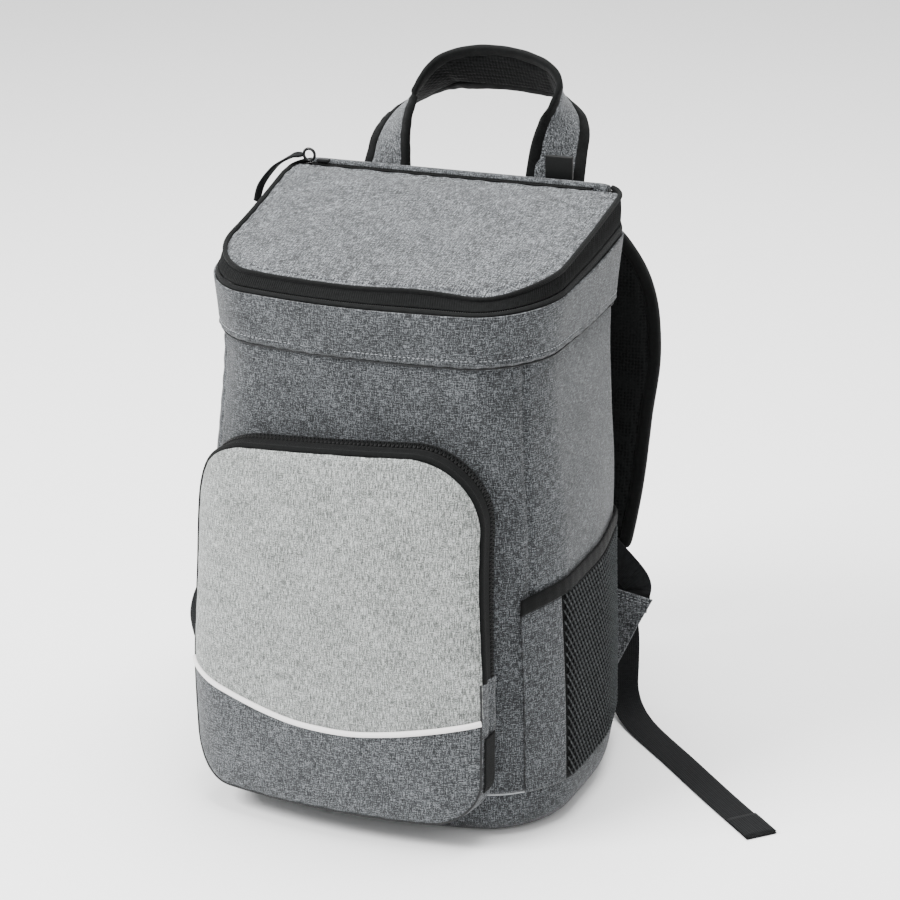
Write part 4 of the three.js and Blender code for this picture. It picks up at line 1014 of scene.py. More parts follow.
def make_lid():
    """Padded lid: a crowned panel inside the piping, its edge rolled down, cut straight at the rear zip."""
    steps = np.linspace(0, 10, 320, endpoint=False)
    x, y = plan_point(steps, LID_SECTION, -GAP - 0.8)
    shares = np.concatenate([[0.02], np.linspace(0.06, 0.9, 30), np.linspace(0.92, 1.0, 12)])
    points = []
    for share in shares:
        px, py = x * share, np.minimum(y, LID_BACK) * share
        inward = (1 - share) * 110
        lift = LID_CROWN * (1 - share**3) + 1.2 * (1 - np.exp(-inward / 3.5)) - 1.2
        pucker = 0.35 * np.sin(steps * 33 + 2 * np.sin(steps * 7)) * np.exp(-inward / 9)
        wave = 0.7 * ripple(steps * 0 + py / 40, px, 5) * (1 - share**6)
        droop = edge_wave(x, y) * np.exp(-inward / 14)
        groove = 0.8 * bump_at(inward - 5.5, 1.3)
        points.append(stack(px, py, lid_edge_at(py) + lift + pucker + wave + droop - groove))
    for share, drop in ((1.003, 1.6), (1.002, 3.2), (0.98, LID_THICKNESS + 0.5), (0.5, LID_THICKNESS + 0.5)):
        px, py = x * share, np.minimum(y, LID_BACK) * share
        points.append(stack(px, py, lid_edge_at(py) - drop + edge_wave(x, y)))
    points.append(stack(x * 0.02, np.minimum(y, LID_BACK) * 0.02, lid_edge_at(0.0) - LID_THICKNESS))
    points = np.stack(points)
    uv = points[..., :2]
    uv = np.concatenate([uv, uv[:, :1]], 1)
    item = grid("lid_padded_panel", points, lid_cloth, wrap=True, uv=uv, caps=True)
    keep(item, "lid_heather", "lid_panel")


def make_rear_zip():
    """Zip along the lid's back edge: sunken tape with a fine coil."""
    x = np.linspace(REAR_ZIP_LEFT + 3, REAR_ZIP_RIGHT, 200)
    near = LID_BACK + 0.2
    rows = []
    for share in np.linspace(0, 1, 7):
        y = near + share * (REAR_ZIP_WIDTH + 0.6)
        rows.append(stack(x, y, lid_edge_at(y) - 0.6 + 0.8 * math.sin(math.pi * share)))
    tape = solid(grid("rear_zip_tape", np.stack(rows), tape_cloth), 1.2)
    y = near + REAR_ZIP_WIDTH / 2
    path = stack(x, y + 0 * x, lid_edge_at(y) + 0.35)
    teeth = coil_teeth("rear_zip_teeth", path, np.array([0.0, 0.17, 1.0]), 2.6)
    keep(join("rear_zip_run", tape, teeth), "black_webbing", "rear_zip")


def coil_teeth(name, path, out, width):
    """Interlocked coil: short rounded bars across the chain, each a little slanted, TOOTH_PITCH apart."""
    even = resample(path, TOOTH_PITCH)
    out = resample_like(path, out, len(even))
    along = unit(np.gradient(even, axis=0))
    across = unit(np.cross(along, out))
    side = np.where(np.arange(len(even)) % 2 == 0, 1.0, -1.0)[:, None]
    slant = unit(across + 0.22 * along * side)
    shape = [(-0.5, 0.0, 0.0), (-0.36, 0.42, 0.32), (0.36, 0.42, 0.32), (0.5, 0.0, 0.0)]
    rings = []
    for place, half, rise in shape:
        centre = even + slant * place * width
        rings.append(np.stack([
            centre - along * half - out * 0.3,
            centre - along * half * 0.7 + out * rise,
            centre + along * half * 0.7 + out * rise,
            centre + along * half - out * 0.3,
        ], 1))
    points = np.stack(rings, 1)
    start = (np.arange(len(even)) * 16)[:, None, None]
    r, c = np.meshgrid(np.arange(3), np.arange(4), indexing="ij")
    r, c = r.ravel(), c.ravel()
    sides = np.stack([r * 4 + c, r * 4 + (c + 1) % 4, (r + 1) * 4 + (c + 1) % 4, (r + 1) * 4 + c], -1)
    faces = (sides[None] + start).reshape(-1, 4)
    return make_mesh(name, points, faces, coil)


def rounded_block(name, centre, axes, half, material, bevel=0.8):
    """A moulded block: a box on three given directions with a rounded edge."""
    signs = np.array([[a, b, c] for c in (-1, 1) for a, b in ((-1, -1), (1, -1), (1, 1), (-1, 1))], float)
    points = centre + (signs * half) @ np.asarray(axes, float)
    faces = np.array([[0, 3, 2, 1], [4, 5, 6, 7], [0, 1, 5, 4], [1, 2, 6, 5], [2, 3, 7, 6], [3, 0, 4, 7]])
    item = make_mesh(name, points, faces, material, smooth_faces=False)
    edge = item.modifiers.new("bevel", "BEVEL")
    edge.width = bevel * MM
    edge.segments = 3
    return item


def ring(name, centre, u, v, radius, wire, material):
    """A closed wire ring in the plane of two directions."""
    angle = np.linspace(0, 2 * math.pi, 36, endpoint=False)
    u, v = unit(np.asarray(u, float)), unit(np.asarray(v, float))
    turn = np.linspace(0, 2 * math.pi, 10, endpoint=False)
    radial_out = np.cos(angle)[:, None] * u + np.sin(angle)[:, None] * v
    axis = unit(np.cross(u, v))
    points = centre + radial_out[:, None] * (radius + wire * np.cos(turn))[None, :, None]
    points = points + axis * (wire * np.sin(turn))[None, :, None]
    return grid(name, points, material, wrap=True, closed_rows=True)


def pull_strap(name, columns, start, hint, material):
    """A short pull of doubled tape that hangs from its ring, narrower at its ends."""
    rows = smooth_rows(columns, 40)
    centres = start + np.stack([-rows["out"], -rows["ahead"], -rows["down"]], -1) * PULL_LENGTH
    hint = np.broadcast_to(np.asarray(hint, float), centres.shape)
    return band(name, centres, hint, flat_profile(PULL_WIDTH, 2.2), material, widths=rows["wide"])


def make_rear_slider():
    y = LID_BACK + GAP + REAR_ZIP_WIDTH / 2
    z = lid_edge_at(y)
    centre = np.array([REAR_ZIP_LEFT + 12, y, z + 2.4])
    body = rounded_block("rear_slider_body", centre, np.eye(3), [5, 2.6, 1.3], enamel)
    keep(body, "black_plastic", "rear_slider")
    centre = np.array([REAR_ZIP_LEFT, y, z + RING_RADIUS + 1.2])
    item = ring("rear_pull_wire_ring", centre, (1, 0, 0), (0, 0, 1), RING_RADIUS, RING_WIRE * 1.15, enamel)
    keep(item, "black_plastic", "rear_pull_ring")
    start = centre + np.array([-RING_RADIUS - 1, 0, 0])
    pull = pull_strap("rear_pull_tape", REAR_PULL, start, (0.3, 1, 0.2), webbing_cloth)
    keep(pull, "black_webbing", "rear_pull")


make_collar()
make_lid_band()
make_back_hem()
make_lid()
make_rear_zip()
make_rear_slider()

# Front pocket
POCKET_MIDDLE = (POCKET_LEFT + POCKET_RIGHT) / 2
POCKET_HALF = (POCKET_RIGHT - POCKET_LEFT) / 2
FACE_DEPTH = POCKET_DEPTH + POCKET_CLOTH
PIPING_DEEP = FACE_DEPTH - 4.6
CHAIN_NEAR = FACE_DEPTH - EDGE_PIPING - GAP - ZIP_INNER_TAPE - GAP - ZIP_CHAIN_WIDTH
CHAIN_MIDDLE = CHAIN_NEAR + ZIP_CHAIN_WIDTH / 2

# The pocket's side wall from the body to the face: the share of its flare that is left, and of its roll
WALL_PROFILE = table(
    "deep flare roll",
    (0.0, 1.0, 0.0),
    (5.0, 0.55, 0.2),
    (10.6, 0.1, 0.42),
    (16.6, 0.0, 0.77),
    (24.0, 0.0, 0.9),
    (30.0, 0.0, 1.0),
)


def rounded_outline(left, right, low, high, top_radius, foot_radius):
    """A rounded rectangle, anticlockwise from the middle of its foot: places and outward directions."""
    corners = (
        (right - foot_radius, low + foot_radius, foot_radius, -90),
        (right - top_radius, high - top_radius, top_radius, 0),
        (left + top_radius, high - top_radius, top_radius, 90),
        (left + foot_radius, low + foot_radius, foot_radius, 180),
    )
    foot = np.array([[(left + right) / 2, low]])
    places, normals = [foot], [np.array([[0.0, -1.0]])]
    for x, z, radius, start in corners:
        angle = np.radians(start + np.linspace(0, 90, 60))
        normal = np.stack([np.cos(angle), np.sin(angle)], -1)
        places.append(np.array([[x, z]]) + radius * normal)
        normals.append(normal)
    return np.concatenate([*places, foot]), np.concatenate([*normals, normals[0]])


WALL_PLACES, OUTLINE_NORMALS = rounded_outline(
    POCKET_LEFT, POCKET_RIGHT, POCKET_BOTTOM, POCKET_TOP, TOP_CORNER, BOTTOM_CORNER
)
FACE_PLACES = rounded_outline(
    FACE_LEFT, FACE_RIGHT, FACE_BOTTOM, FACE_TOP, FACE_TOP_CORNER, FACE_FOOT_CORNER
)[0]
OUTLINE_SHARE = np.concatenate([[0], np.cumsum(np.linalg.norm(np.diff(WALL_PLACES, axis=0), axis=1))])
OUTLINE_SHARE = OUTLINE_SHARE / OUTLINE_SHARE[-1]


def outline_at(share, places=WALL_PLACES):
    """Place and outward direction at a share of an outline."""
    share = np.mod(share, 1.0)
    place = [np.interp(share, OUTLINE_SHARE, places[:, k]) for k in (0, 1)]
    normal = [np.interp(share, OUTLINE_SHARE, OUTLINE_NORMALS[:, k]) for k in (0, 1)]
    return (*place, *normal)


def outline_share(height, side):
    """Share of the outline at which the right (1) or left (-1) side passes a height."""
    shares = np.linspace(0.02, 0.48, 4000) if side > 0 else np.linspace(0.98, 0.52, 4000)
    heights = outline_at(shares)[1]
    return shares[np.argmax(heights >= height)]


def pocket_slump(x, z):
    """The soft pocket's top leans up to the right and is slightly crowned."""
    across = (x - POCKET_MIDDLE) / POCKET_HALF
    up = np.clip((z - POCKET_BOTTOM) / (POCKET_TOP - POCKET_BOTTOM), 0, 1)
    return z + up**3 * (POCKET_TILT * across + POCKET_CROWN * (1 - across**2))


def left_sag(x, z):
    """The left edge swells outwards about the height of the pale piping and slumps in at its top."""
    left = np.clip((POCKET_MIDDLE - x) / POCKET_HALF, 0, 1)
    swell = LEFT_SAG * bump_at(z - LEFT_SAG_HEIGHT, 55) - LEFT_SLUMP * bump_at(z - POCKET_TOP + 36, 34)
    return x - swell * left**4


def right_sag(x, z):
    """The right edge of the face leans outwards towards its foot."""
    right = np.clip((x - POCKET_MIDDLE) / POCKET_HALF, 0, 1)
    return x + RIGHT_SAG * right**4 * smooth((215 - z) / 120)


def gusset_point(share, deep, offset=0.0):
    """A place on the pocket's side wall: it flares out of the body, then rolls in to the edge of the face."""
    x, z, nx, nz = outline_at(share, WALL_PLACES)
    face_x, face_z = outline_at(share, FACE_PLACES)[:2]
    face_x = right_sag(face_x, face_z)
    flare = hermite(WALL_PROFILE["deep"], WALL_PROFILE["flare"], deep)
    roll = hermite(WALL_PROFILE["deep"], WALL_PROFILE["roll"], deep)
    out = offset - (POCKET_FLARE + 2.3 * np.clip(nz, 0, 1)) * flare
    mixed_x, mixed_z = mix(x, face_x, roll), mix(z, face_z, roll)
    px = left_sag(mixed_x, mixed_z) + nx * out
    pz = pocket_slump(mixed_x, mixed_z) + nz * out
    return stack(px, front_y(px, pz) - deep, pz)


def gusset_out(share):
    """Outward directions of the side wall."""
    _, _, nx, nz = outline_at(share)
    return np.stack([nx, 0 * nx, nz], -1)


# Height of the pale piping above its lowest place, along the face from left to right
SMILE = table(
    "share up",
    (0.0, 19.0),
    (0.05, 18.0),
    (0.12, 15.2),
    (0.2, 11.0),
    (0.3, 5.8),
    (0.4, 2.0),
    (0.5, 0.4),
    (0.6, 0.6),
    (0.74, 4.4),
    (0.87, 9.8),
    (1.0, 16.5),
)


def smile_at(x):
    """Height of the pale piping across the face."""
    share = np.clip((x - FACE_LEFT) / (FACE_RIGHT - FACE_LEFT), 0, 1)
    return SMILE_HEIGHT + hermite(SMILE["share"], SMILE["up"], share)


def edge_distance(x, z):
    """How far a place on the pocket's face is from its edge, inwards."""
    middle_z = (FACE_BOTTOM + FACE_TOP) / 2
    radius = np.where(z > middle_z, FACE_TOP_CORNER, FACE_FOOT_CORNER)
    qx = np.abs(x - FACE_MIDDLE) - (FACE_HALF - radius)
    qz = np.abs(z - middle_z) - ((FACE_TOP - FACE_BOTTOM) / 2 - radius)
    outside = np.hypot(np.maximum(qx, 0), np.maximum(qz, 0))
    return radius - outside - np.minimum(np.maximum(qx, qz), 0)


def face_point(x, z, forward=0.0):
    """Face of the pocket: the body's curve carried forward and domed towards the middle."""
    across = (x - POCKET_MIDDLE) / POCKET_HALF
    slumped = pocket_slump(x, z)
    up = 2 * (z - POCKET_BOTTOM) / (POCKET_TOP - POCKET_BOTTOM) - 1
    dome = POCKET_DOME * (1 - across**4) * (1 - up**4)
    sagged = right_sag(left_sag(x, z), z)
    return stack(sagged, front_y(sagged, slumped) - POCKET_DEPTH - dome - forward, slumped)


def face_ends(x):
    """Lowest and highest place of the face at a place across."""
    ends = []
    for radius, base, sign in ((FACE_FOOT_CORNER, FACE_BOTTOM, 1), (FACE_TOP_CORNER, FACE_TOP, -1)):
        past = np.clip(np.abs(x - FACE_MIDDLE) - (FACE_HALF - radius), 0, radius)
        ends.append(base + sign * (radius - np.sqrt(radius**2 - past**2)))
    return ends


def pocket_relief(x, z):
    """Cloth over the pocket's foam: its edge turns in to the piping, with soft puckers and waves."""
    inward = np.maximum(edge_distance(x, z), 0)
    turn_in = -2.2 * np.exp(-inward / 2.2)
    pucker = 0.3 * np.sin((x + z) / 3.1) * np.exp(-inward / 9)
    wave = 0.8 * ripple(x / 30, z, 21)
    return turn_in + pucker + wave


def pocket_face(name, material, columns, rows, low_at, high_at, seam_edge):
    """Cloth between two edges of the face; it also turns in at the seam under the pale piping."""
    x = FACE_MIDDLE + FACE_HALF * np.sin(np.linspace(-1, 1, columns) * math.pi / 2)
    low, high = low_at(x), high_at(x)
    share = 0.5 - 0.5 * np.cos(np.linspace(0, 1, rows) * math.pi)
    z = mix(low[None], high[None], share[:, None])
    relief = pocket_relief(x[None], z) - 1.3 * np.exp(-np.abs(z - smile_at(x)[None] - seam_edge) / 2.5)
    points = face_point(x[None] + 0 * z, z, POCKET_CLOTH + relief)
    uv = np.stack([x[None] + 0 * z, z], -1)
    return solid(grid(name, points, material, uv=uv), POCKET_CLOTH)


def make_pocket_faces():
    """Light panel above the pale piping and dark yoke below it."""
    top = lambda x: face_ends(x)[1]
    bottom = lambda x: face_ends(x)[0]
    above = lambda x: np.minimum(smile_at(x) + 0.9, top(x))
    below = lambda x: np.maximum(smile_at(x) - 0.9, bottom(x))
    panel = pocket_face("pocket_light_cloth", panel_cloth, 150, 90, above, top, 0.9)
    keep(panel, "pale_heather", "pocket_panel")
    yoke = pocket_face("pocket_dark_cloth", yoke_cloth, 150, 50, bottom, below, -0.9)
    keep(yoke, "dark_heather", "pocket_yoke")
    x = np.linspace(FACE_LEFT + 0.6, FACE_RIGHT - 0.6, 200)
    path = face_point(x, smile_at(x), POCKET_CLOTH * 0.6)
    cord = tube("pocket_white_piping", path, PALE_PIPING / 2, pale_cord, hint=(0, -1, 0), sides=14)
    keep(cord, "pale_trim", "pocket_pale_piping")


ZIP_FROM = outline_share(ZIP_END_HEIGHT, 1)
ZIP_TO = outline_share(ZIP_END_HEIGHT, -1)


def gusset_sheet(name, shares, depths, offsets, material, thickness):
    points = gusset_point(shares[None], depths[:, None], offsets)
    return solid(grid(name, points, material), thickness)


def make_pocket_wall():
    """Side wall of the pocket: cloth round the foot, then the zip between two tapes, and the piping."""
    shares = np.linspace(ZIP_TO - 1, ZIP_FROM, 320)
    depths = np.linspace(-1.0, FACE_DEPTH - 0.4, 26)
    deep = depths[:, None]
    fold = 1.3 * bump_at(deep - 12, 4) - 1.5 * bump_at(deep - 17.5, 2.2) + 0.8 * bump_at(deep - 23, 4)
    turn_in = -1.2 * np.exp(-(FACE_DEPTH - deep) / 1.8)
    relief = fold + turn_in + 0.5 * ripple(shares[None] * 40, deep * 6, 31)
    wall = gusset_sheet("pocket_wall_cloth", shares, depths, relief, yoke_cloth, 1.6)
    keep(wall, "dark_heather", "pocket_gusset")
    # A thin black cord where the face meets the wall round the foot: a painted shadow line at the joint
    path = gusset_point(shares, FACE_DEPTH - 0.6, -0.9)
    edge = tube("pocket_foot_shadow_line", path, 0.8, black_thread_and_shadow, hint=gusset_out(shares), sides=6)
    keep(edge, "dark_heather")
    shares = np.linspace(ZIP_FROM, ZIP_TO, 520)
    deep = np.linspace(-1.0, CHAIN_NEAR + 1.2, 10)
    outer = gusset_sheet("pocket_zip_tape_outer", shares, deep, 0.0, tape_cloth, 1.4)
    keep(outer, "black_webbing", "pocket_zip_outer_tape")
    depths = np.linspace(CHAIN_NEAR + ZIP_CHAIN_WIDTH - 1.2, PIPING_DEEP, 10)
    inner = gusset_sheet("pocket_zip_tape_inner", shares, depths, 0.0, tape_cloth, 1.4)
    keep(inner, "black_webbing", "pocket_zip_inner_tape")
    depths = np.linspace(CHAIN_NEAR, CHAIN_NEAR + ZIP_CHAIN_WIDTH, 5)
    bed = gusset_sheet("pocket_zip_bed", shares, depths, -0.4, tape_cloth, 1.0)
    path = gusset_point(shares, CHAIN_MIDDLE, 0.5)
    near, far = (gusset_point(shares, CHAIN_MIDDLE + d, 0.5) for d in (-1, 1))
    facing = unit(np.cross(np.gradient(path, axis=0), far - near))
    facing = facing * np.sign((facing * gusset_out(shares)).sum(-1, keepdims=True))
    teeth = coil_teeth("pocket_zip_teeth", path, facing, ZIP_CHAIN_WIDTH * 0.8)
    keep(join("pocket_zip_coil", bed, teeth), "black_plastic", "pocket_zip_chain")
    path = gusset_point(shares, PIPING_DEEP, -0.2)
    cord = tube("pocket_edge_cord", path, 3.0, binding_cloth, hint=gusset_out(shares), sides=12, squash=0.8)
    keep(cord, "black_webbing", "pocket_edge_piping")


def make_pocket_trim():
    """Bare label, slider, ring and pull at the pocket's sides."""
    low, high = outline_share(LABEL_TOP - LABEL_HEIGHT, 1), outline_share(LABEL_TOP, 1)
    depths = np.linspace(FACE_DEPTH - LABEL_WIDTH - 1, FACE_DEPTH - 1, 12)
    lift = 1.9 + 0.5 * np.sin(math.pi * np.linspace(0, 1, 12))[:, None]
    label = gusset_sheet("pocket_bare_label", np.linspace(low, high, 30), depths, lift, binding_cloth, 0.9)
    keep(label, "black_webbing", "pocket_label")
    share = np.array([outline_share(SLIDER_HEIGHT, -1)])
    centre = gusset_point(share, CHAIN_MIDDLE, 2.4)[0]
    axes = [[0, 0, 1], [0, 1, 0], [-1, 0, 0]]
    body = rounded_block("pocket_slider_body", centre, axes, [5, 3.6, 1.5], enamel)
    keep(body, "black_plastic", "pocket_slider")
    link = gusset_point(share, CHAIN_MIDDLE, 4 + PULL_STANDOFF / 2)[0]
    item = rounded_block("pocket_slider_link", link, axes, [1.6, 0.7, PULL_STANDOFF / 2], enamel, bevel=0.5)
    keep(item, "black_plastic")
    centre = gusset_point(share, CHAIN_MIDDLE, 3 + PULL_STANDOFF + RING_RADIUS)[0]
    item = ring("pocket_pull_wire_ring", centre, (1, 0, 0), (0, 0, 1), RING_RADIUS, RING_WIRE * 1.15, enamel)
    keep(item, "black_plastic", "pocket_pull_ring")
    start = centre + np.array([0, 0, -RING_RADIUS - 1])
    pull = pull_strap("pocket_pull_tape", POCKET_PULL, start, (0.9, -0.45, 0), webbing_cloth)
    keep(pull, "black_webbing", "pocket_pull")


make_pocket_faces()
make_pocket_wall()
make_pocket_trim()


# Side pockets
def side_steps(side, a, b, count):
    steps = np.linspace(a, b, count)
    return steps if side > 0 else 10 - steps


def pocket_top(step, side):
    seam = RIGHT_SEAM_STEP if side > 0 else LEFT_SEAM_STEP
    turn = step if side > 0 else 10 - step
    share = (seam - turn) / (seam - SIDE_END_STEP)
    return SIDE_POCKET_TOP + SIDE_POCKET_RISE * (1 - np.exp(-8 * share))


def side_sheet(name, side, a, b, material, offset, thickness, low, drop=0.0, count=70):
    """A sheet over the body's side from low up to the binding."""
    steps = side_steps(side, a, b, count)
    top = pocket_top(steps, side) - SIDE_BINDING - drop
    z = mix(low, top[None], np.linspace(0, 1, 60)[:, None])
    relief = offset + 0.5 * ripple(steps[None], z, 41)
    return solid(grid(name, body_point(steps[None], z, relief), material), thickness)


def make_net(side, word):
    """Pocket net: a sheet of six-sided cells, each with a six-sided hole, over the body's side."""
    steps = np.linspace(SIDE_END_STEP, MESH_STEP, 200)
    steps = steps if side > 0 else 10 - steps
    line = body_point(steps, 110.0, 0.0)
    length = np.concatenate([[0], np.cumsum(np.linalg.norm(np.diff(line, axis=0), axis=1))])
    wide, tall = NET_PITCH, NET_PITCH * 0.82
    columns = int((length[-1] - 3) / wide)
    low = BASE_SEAM_HEIGHT + 1.5
    rows = int((SIDE_POCKET_TOP + SIDE_POCKET_RISE - SIDE_BINDING - low) / tall) + 1
    c, r = np.meshgrid(np.arange(columns), np.arange(rows), indexing="ij")
    across = (c + 0.5 + 0.5 * (r % 2)) * wide + 0.5
    up = low + (r + 0.6) * tall
    step_at = lambda s: np.interp(s, length, steps)
    limit = pocket_top(step_at(across), side) - SIDE_BINDING + 1.0
    inside = (across < length[-1] - wide * 0.3) & (up + tall * 0.4 < limit)
    across, up = across[inside], up[inside]
    shape = np.array([(0, 0.667), (-0.5, 0.333), (-0.5, -0.333), (0, -0.667), (0.5, -0.333), (0.5, 0.333)])
    outer = np.stack([across, up], -1)[:, None] + shape[None] * [wide, tall]
    inner = np.stack([across, up], -1)[:, None] + shape[None] * [wide, tall] * NET_HOLE
    keys = np.round(outer.reshape(-1, 2) * 20).astype(int)
    _, first, which = np.unique(keys, axis=0, return_index=True, return_inverse=True)
    which = which.reshape(-1, 6)
    flat = np.concatenate([outer.reshape(-1, 2)[first], inner.reshape(-1, 2)])
    hole = (np.arange(len(across) * 6) + len(first)).reshape(-1, 6)
    k = np.arange(6)
    following = (k + 1) % 6
    faces = np.stack([which[:, k], which[:, following], hole[:, following], hole[:, k]], -1).reshape(-1, 4)
    step = step_at(flat[:, 0])
    points = body_point(step, flat[:, 1], 2.6 + 0.5 * ripple(step, flat[:, 1], 41))
    cords = solid(make_mesh(f"side_net_{word}", points, faces, net_cord), 0.8)
    # The knit's loops, drawn light grey as a painted highlight
    knots = net_highlight_loops(across, up, wide, tall, step_at, word)
    name = f"side_net_ground_{word}"
    ground = side_sheet(name, side, SIDE_END_STEP, MESH_STEP, net_ground, 1.3, 0.5, BASE_SEAM_HEIGHT)
    return join(f"side_net_{word}", cords, ground, knots)


def net_highlight_loops(across, up, wide, tall, step_at, word):
    """The slanted thick loops of the knit, one beside each hole, as small raised diamonds; their light grey
    is a painted highlight of light caught on the black knit.
    """
    shape = np.array([(-0.34, -0.62), (-0.02, -0.3), (0.34, 0.62), (0.02, 0.3)]) * [wide, tall]
    shift = np.array([0.5 * wide, 0.0])
    centre = np.stack([across, up], -1) + shift
    flat = centre[:, None] + np.concatenate([shape, shape * 0.55])[None]
    height = np.array([2.6] * 4 + [3.5] * 4)
    step = step_at(flat[..., 0])
    z = flat[..., 1]
    points = body_point(step, z, height[None] + 0.5 * ripple(step, z, 41))
    ring = np.array([[0, 1, 5, 4], [1, 2, 6, 5], [2, 3, 7, 6], [3, 0, 4, 7], [4, 5, 6, 7], [3, 2, 1, 0]])
    faces = (ring[None] + (np.arange(len(centre)) * 8)[:, None, None]).reshape(-1, 4)
    return make_mesh(f"side_net_highlights_{word}", points, faces, net_highlight_cloth)


def make_side_pocket(side, word):
    seam = RIGHT_SEAM_STEP if side > 0 else LEFT_SEAM_STEP
    low = BASE_SEAM_HEIGHT
    strip = side_sheet(f"side_plain_strip_{word}", side, MESH_STEP, seam, body_cloth, 2.0, 1.2, low)
    keep(strip, "mid_heather", f"side_strip_{word}")
    net = make_net(side, word)
    keep(net, "black_mesh", f"side_mesh_{word}")
    steps = side_steps(side, SIDE_END_STEP, seam, 120)
    top = pocket_top(steps, side)
    shares = np.linspace(0, 1, 11)
    z = top[None] - SIDE_BINDING * (1 - shares[:, None])
    bulge = 2.2 + 1.0 * np.sin(math.pi * shares[:, None]) ** 0.5 + 0.15 * np.sin(steps[None] * 60)
    points = body_point(steps[None], z, bulge)
    binding = solid(grid(f"side_pocket_binding_{word}", points, binding_cloth), 1.8)
    keep(binding, "black_webbing", f"side_binding_{word}")


make_side_pocket(1, "right")
make_side_pocket(-1, "left")


# Padded straps
def puff(item, voxel=4.5, pressure=4.0, cap=3.0):
    """Blows a pad up like stuffed cloth: remeshed, pressed out by simulation, its travel capped."""
    scene = bpy.context.scene
    bpy.context.view_layer.objects.active = item
    remesh = item.modifiers.new("remesh", "REMESH")
    remesh.mode = "VOXEL"
    remesh.voxel_size = voxel * MM
    bpy.ops.object.modifier_apply(modifier=remesh.name)
    count = len(item.data.vertices)
    before = np.empty(count * 3)
    item.data.vertices.foreach_get("co", before)
    cloth = item.modifiers.new("cloth", "CLOTH")
    cloth.settings.use_pressure = True
    cloth.settings.uniform_pressure_force = pressure
    cloth.settings.effector_weights.gravity = 0
    cloth.settings.quality = 5
    cloth.point_cache.frame_start = 1
    cloth.point_cache.frame_end = 20
    for number in range(1, 21):
        scene.frame_set(number)
    shown = item.evaluated_get(bpy.context.evaluated_depsgraph_get())
    after = np.empty(count * 3)
    shown.data.vertices.foreach_get("co", after)
    item.modifiers.remove(cloth)
    scene.frame_set(1)
    travel = (after - before).reshape(-1, 3)
    size = np.linalg.norm(travel, axis=1, keepdims=True)
    travel *= np.minimum(1, cap * MM / np.maximum(size, 1e-9))
    item.data.vertices.foreach_set("co", before + travel.ravel())
    item.data.update()
    item.data.polygons.foreach_set("use_smooth", np.ones(len(item.data.polygons), bool))
    finer = item.modifiers.new("finer", "SUBSURF")
    finer.levels = finer.render_levels = 1
    return item


def paint_faces(item, centres, normals, front, back):
    """Gives the faces on the centre line's normal side one cloth and the rest another."""
    item.data.materials.clear()
    item.data.materials.append(front)
    item.data.materials.append(back)
    count = len(item.data.polygons)
    places = np.empty(count * 3)
    item.data.polygons.foreach_get("center", places)
    places = places.reshape(-1, 3) / MM
    nearest = np.argmin(((places[:, None] - centres[None, ::4]) ** 2).sum(-1), axis=1) * 4
    side = ((places - centres[nearest]) * normals[nearest]).sum(-1)
    item.data.polygons.foreach_set("material_index", (side < 0).astype(np.int32))


def pad_profile(width, thickness, count=8):
    """A padded strip: a superellipse, fuller in the middle than a flat one."""
    angle = (np.arange(4 * count) + 0.5) / (4 * count) * 2 * math.pi
    across = np.sign(np.cos(angle)) * np.abs(np.cos(angle)) ** 0.5 * width / 2
    out = np.sign(np.sin(angle)) * np.abs(np.sin(angle)) ** 0.85 * thickness / 2
    return np.stack([across, out], -1)


def edge_profile(reach, thickness, side):
    """Binding folded over a strip's edge: a rounded bar from the edge inwards."""
    angle = np.linspace(0, 2 * math.pi, 20, endpoint=False)
    across = np.sign(np.cos(angle)) * np.abs(np.cos(angle)) ** 0.7 * reach / 2
    out = np.sign(np.sin(angle)) * np.abs(np.sin(angle)) ** 0.75 * thickness / 2
    return np.stack([across * side, out], -1)


def edge_binding(name, centres, hint, widths, side, reach, over, thickness, material):
    """Binding along one edge of a band; it stands over the edge by its own thickness of cloth."""
    _, across, normal = band_frames(centres, hint)
    middle = centres + across * (side * (widths / 2 + over - reach / 2))[:, None]
    crumple = 1 + 0.05 * np.sin(np.arange(len(centres)) * 0.9)[:, None]
    profile = edge_profile(reach, thickness, side)
    points = (
        middle[:, None]
        + across[:, None] * profile[None, :, :1]
        + normal[:, None] * profile[None, :, 1:] * crumple[:, None]
    )
    return grid(name, points, material, wrap=True, caps=True)


def handle_frames(count):
    rows = smooth_rows(HANDLE_TABLE, count)
    back = BODY_BACK + BACK_PAD_THICKNESS + HANDLE_THICKNESS / 2 + GAP
    turn, tip = np.radians(rows["turn"]), np.radians(rows["tip"])
    hint = np.stack([np.cos(turn), -np.sin(turn) * np.cos(tip), np.sin(turn) * np.sin(tip)], -1)
    centres = stack(
        HANDLE_HALF_SPAN * rows["along"],
        back + HANDLE_LEAN * rows["lean"],
        HANDLE_FOOT + HANDLE_RISE * rows["rise"],
    )
    return centres, hint


def make_handle():
    """Carry handle: a padded strap, cloth outside and spacer mesh in the hand, bound along both edges."""
    centres, hint = handle_frames(180)
    _, _, normal = band_frames(centres, hint)
    pad = band("handle_pad", centres, hint, pad_profile(HANDLE_WIDTH, HANDLE_THICKNESS - 2), mesh_cloth)
    puff(pad, voxel=4.0, cap=1.5)
    paint_faces(pad, centres, normal, mesh_cloth, body_cloth_sewn)
    keep(pad, "mid_heather", "handle_strap")
    widths = np.full(len(centres), HANDLE_WIDTH)
    for side, node in ((1, "handle_binding_inner"), (-1, "handle_binding_outer")):
        name = node.replace("binding", "edge_tape")
        item = edge_binding(name, centres, hint, widths, side, HANDLE_BINDING + 1, 2.2, 6.0, binding_cloth)
        keep(item, "black_webbing", node)


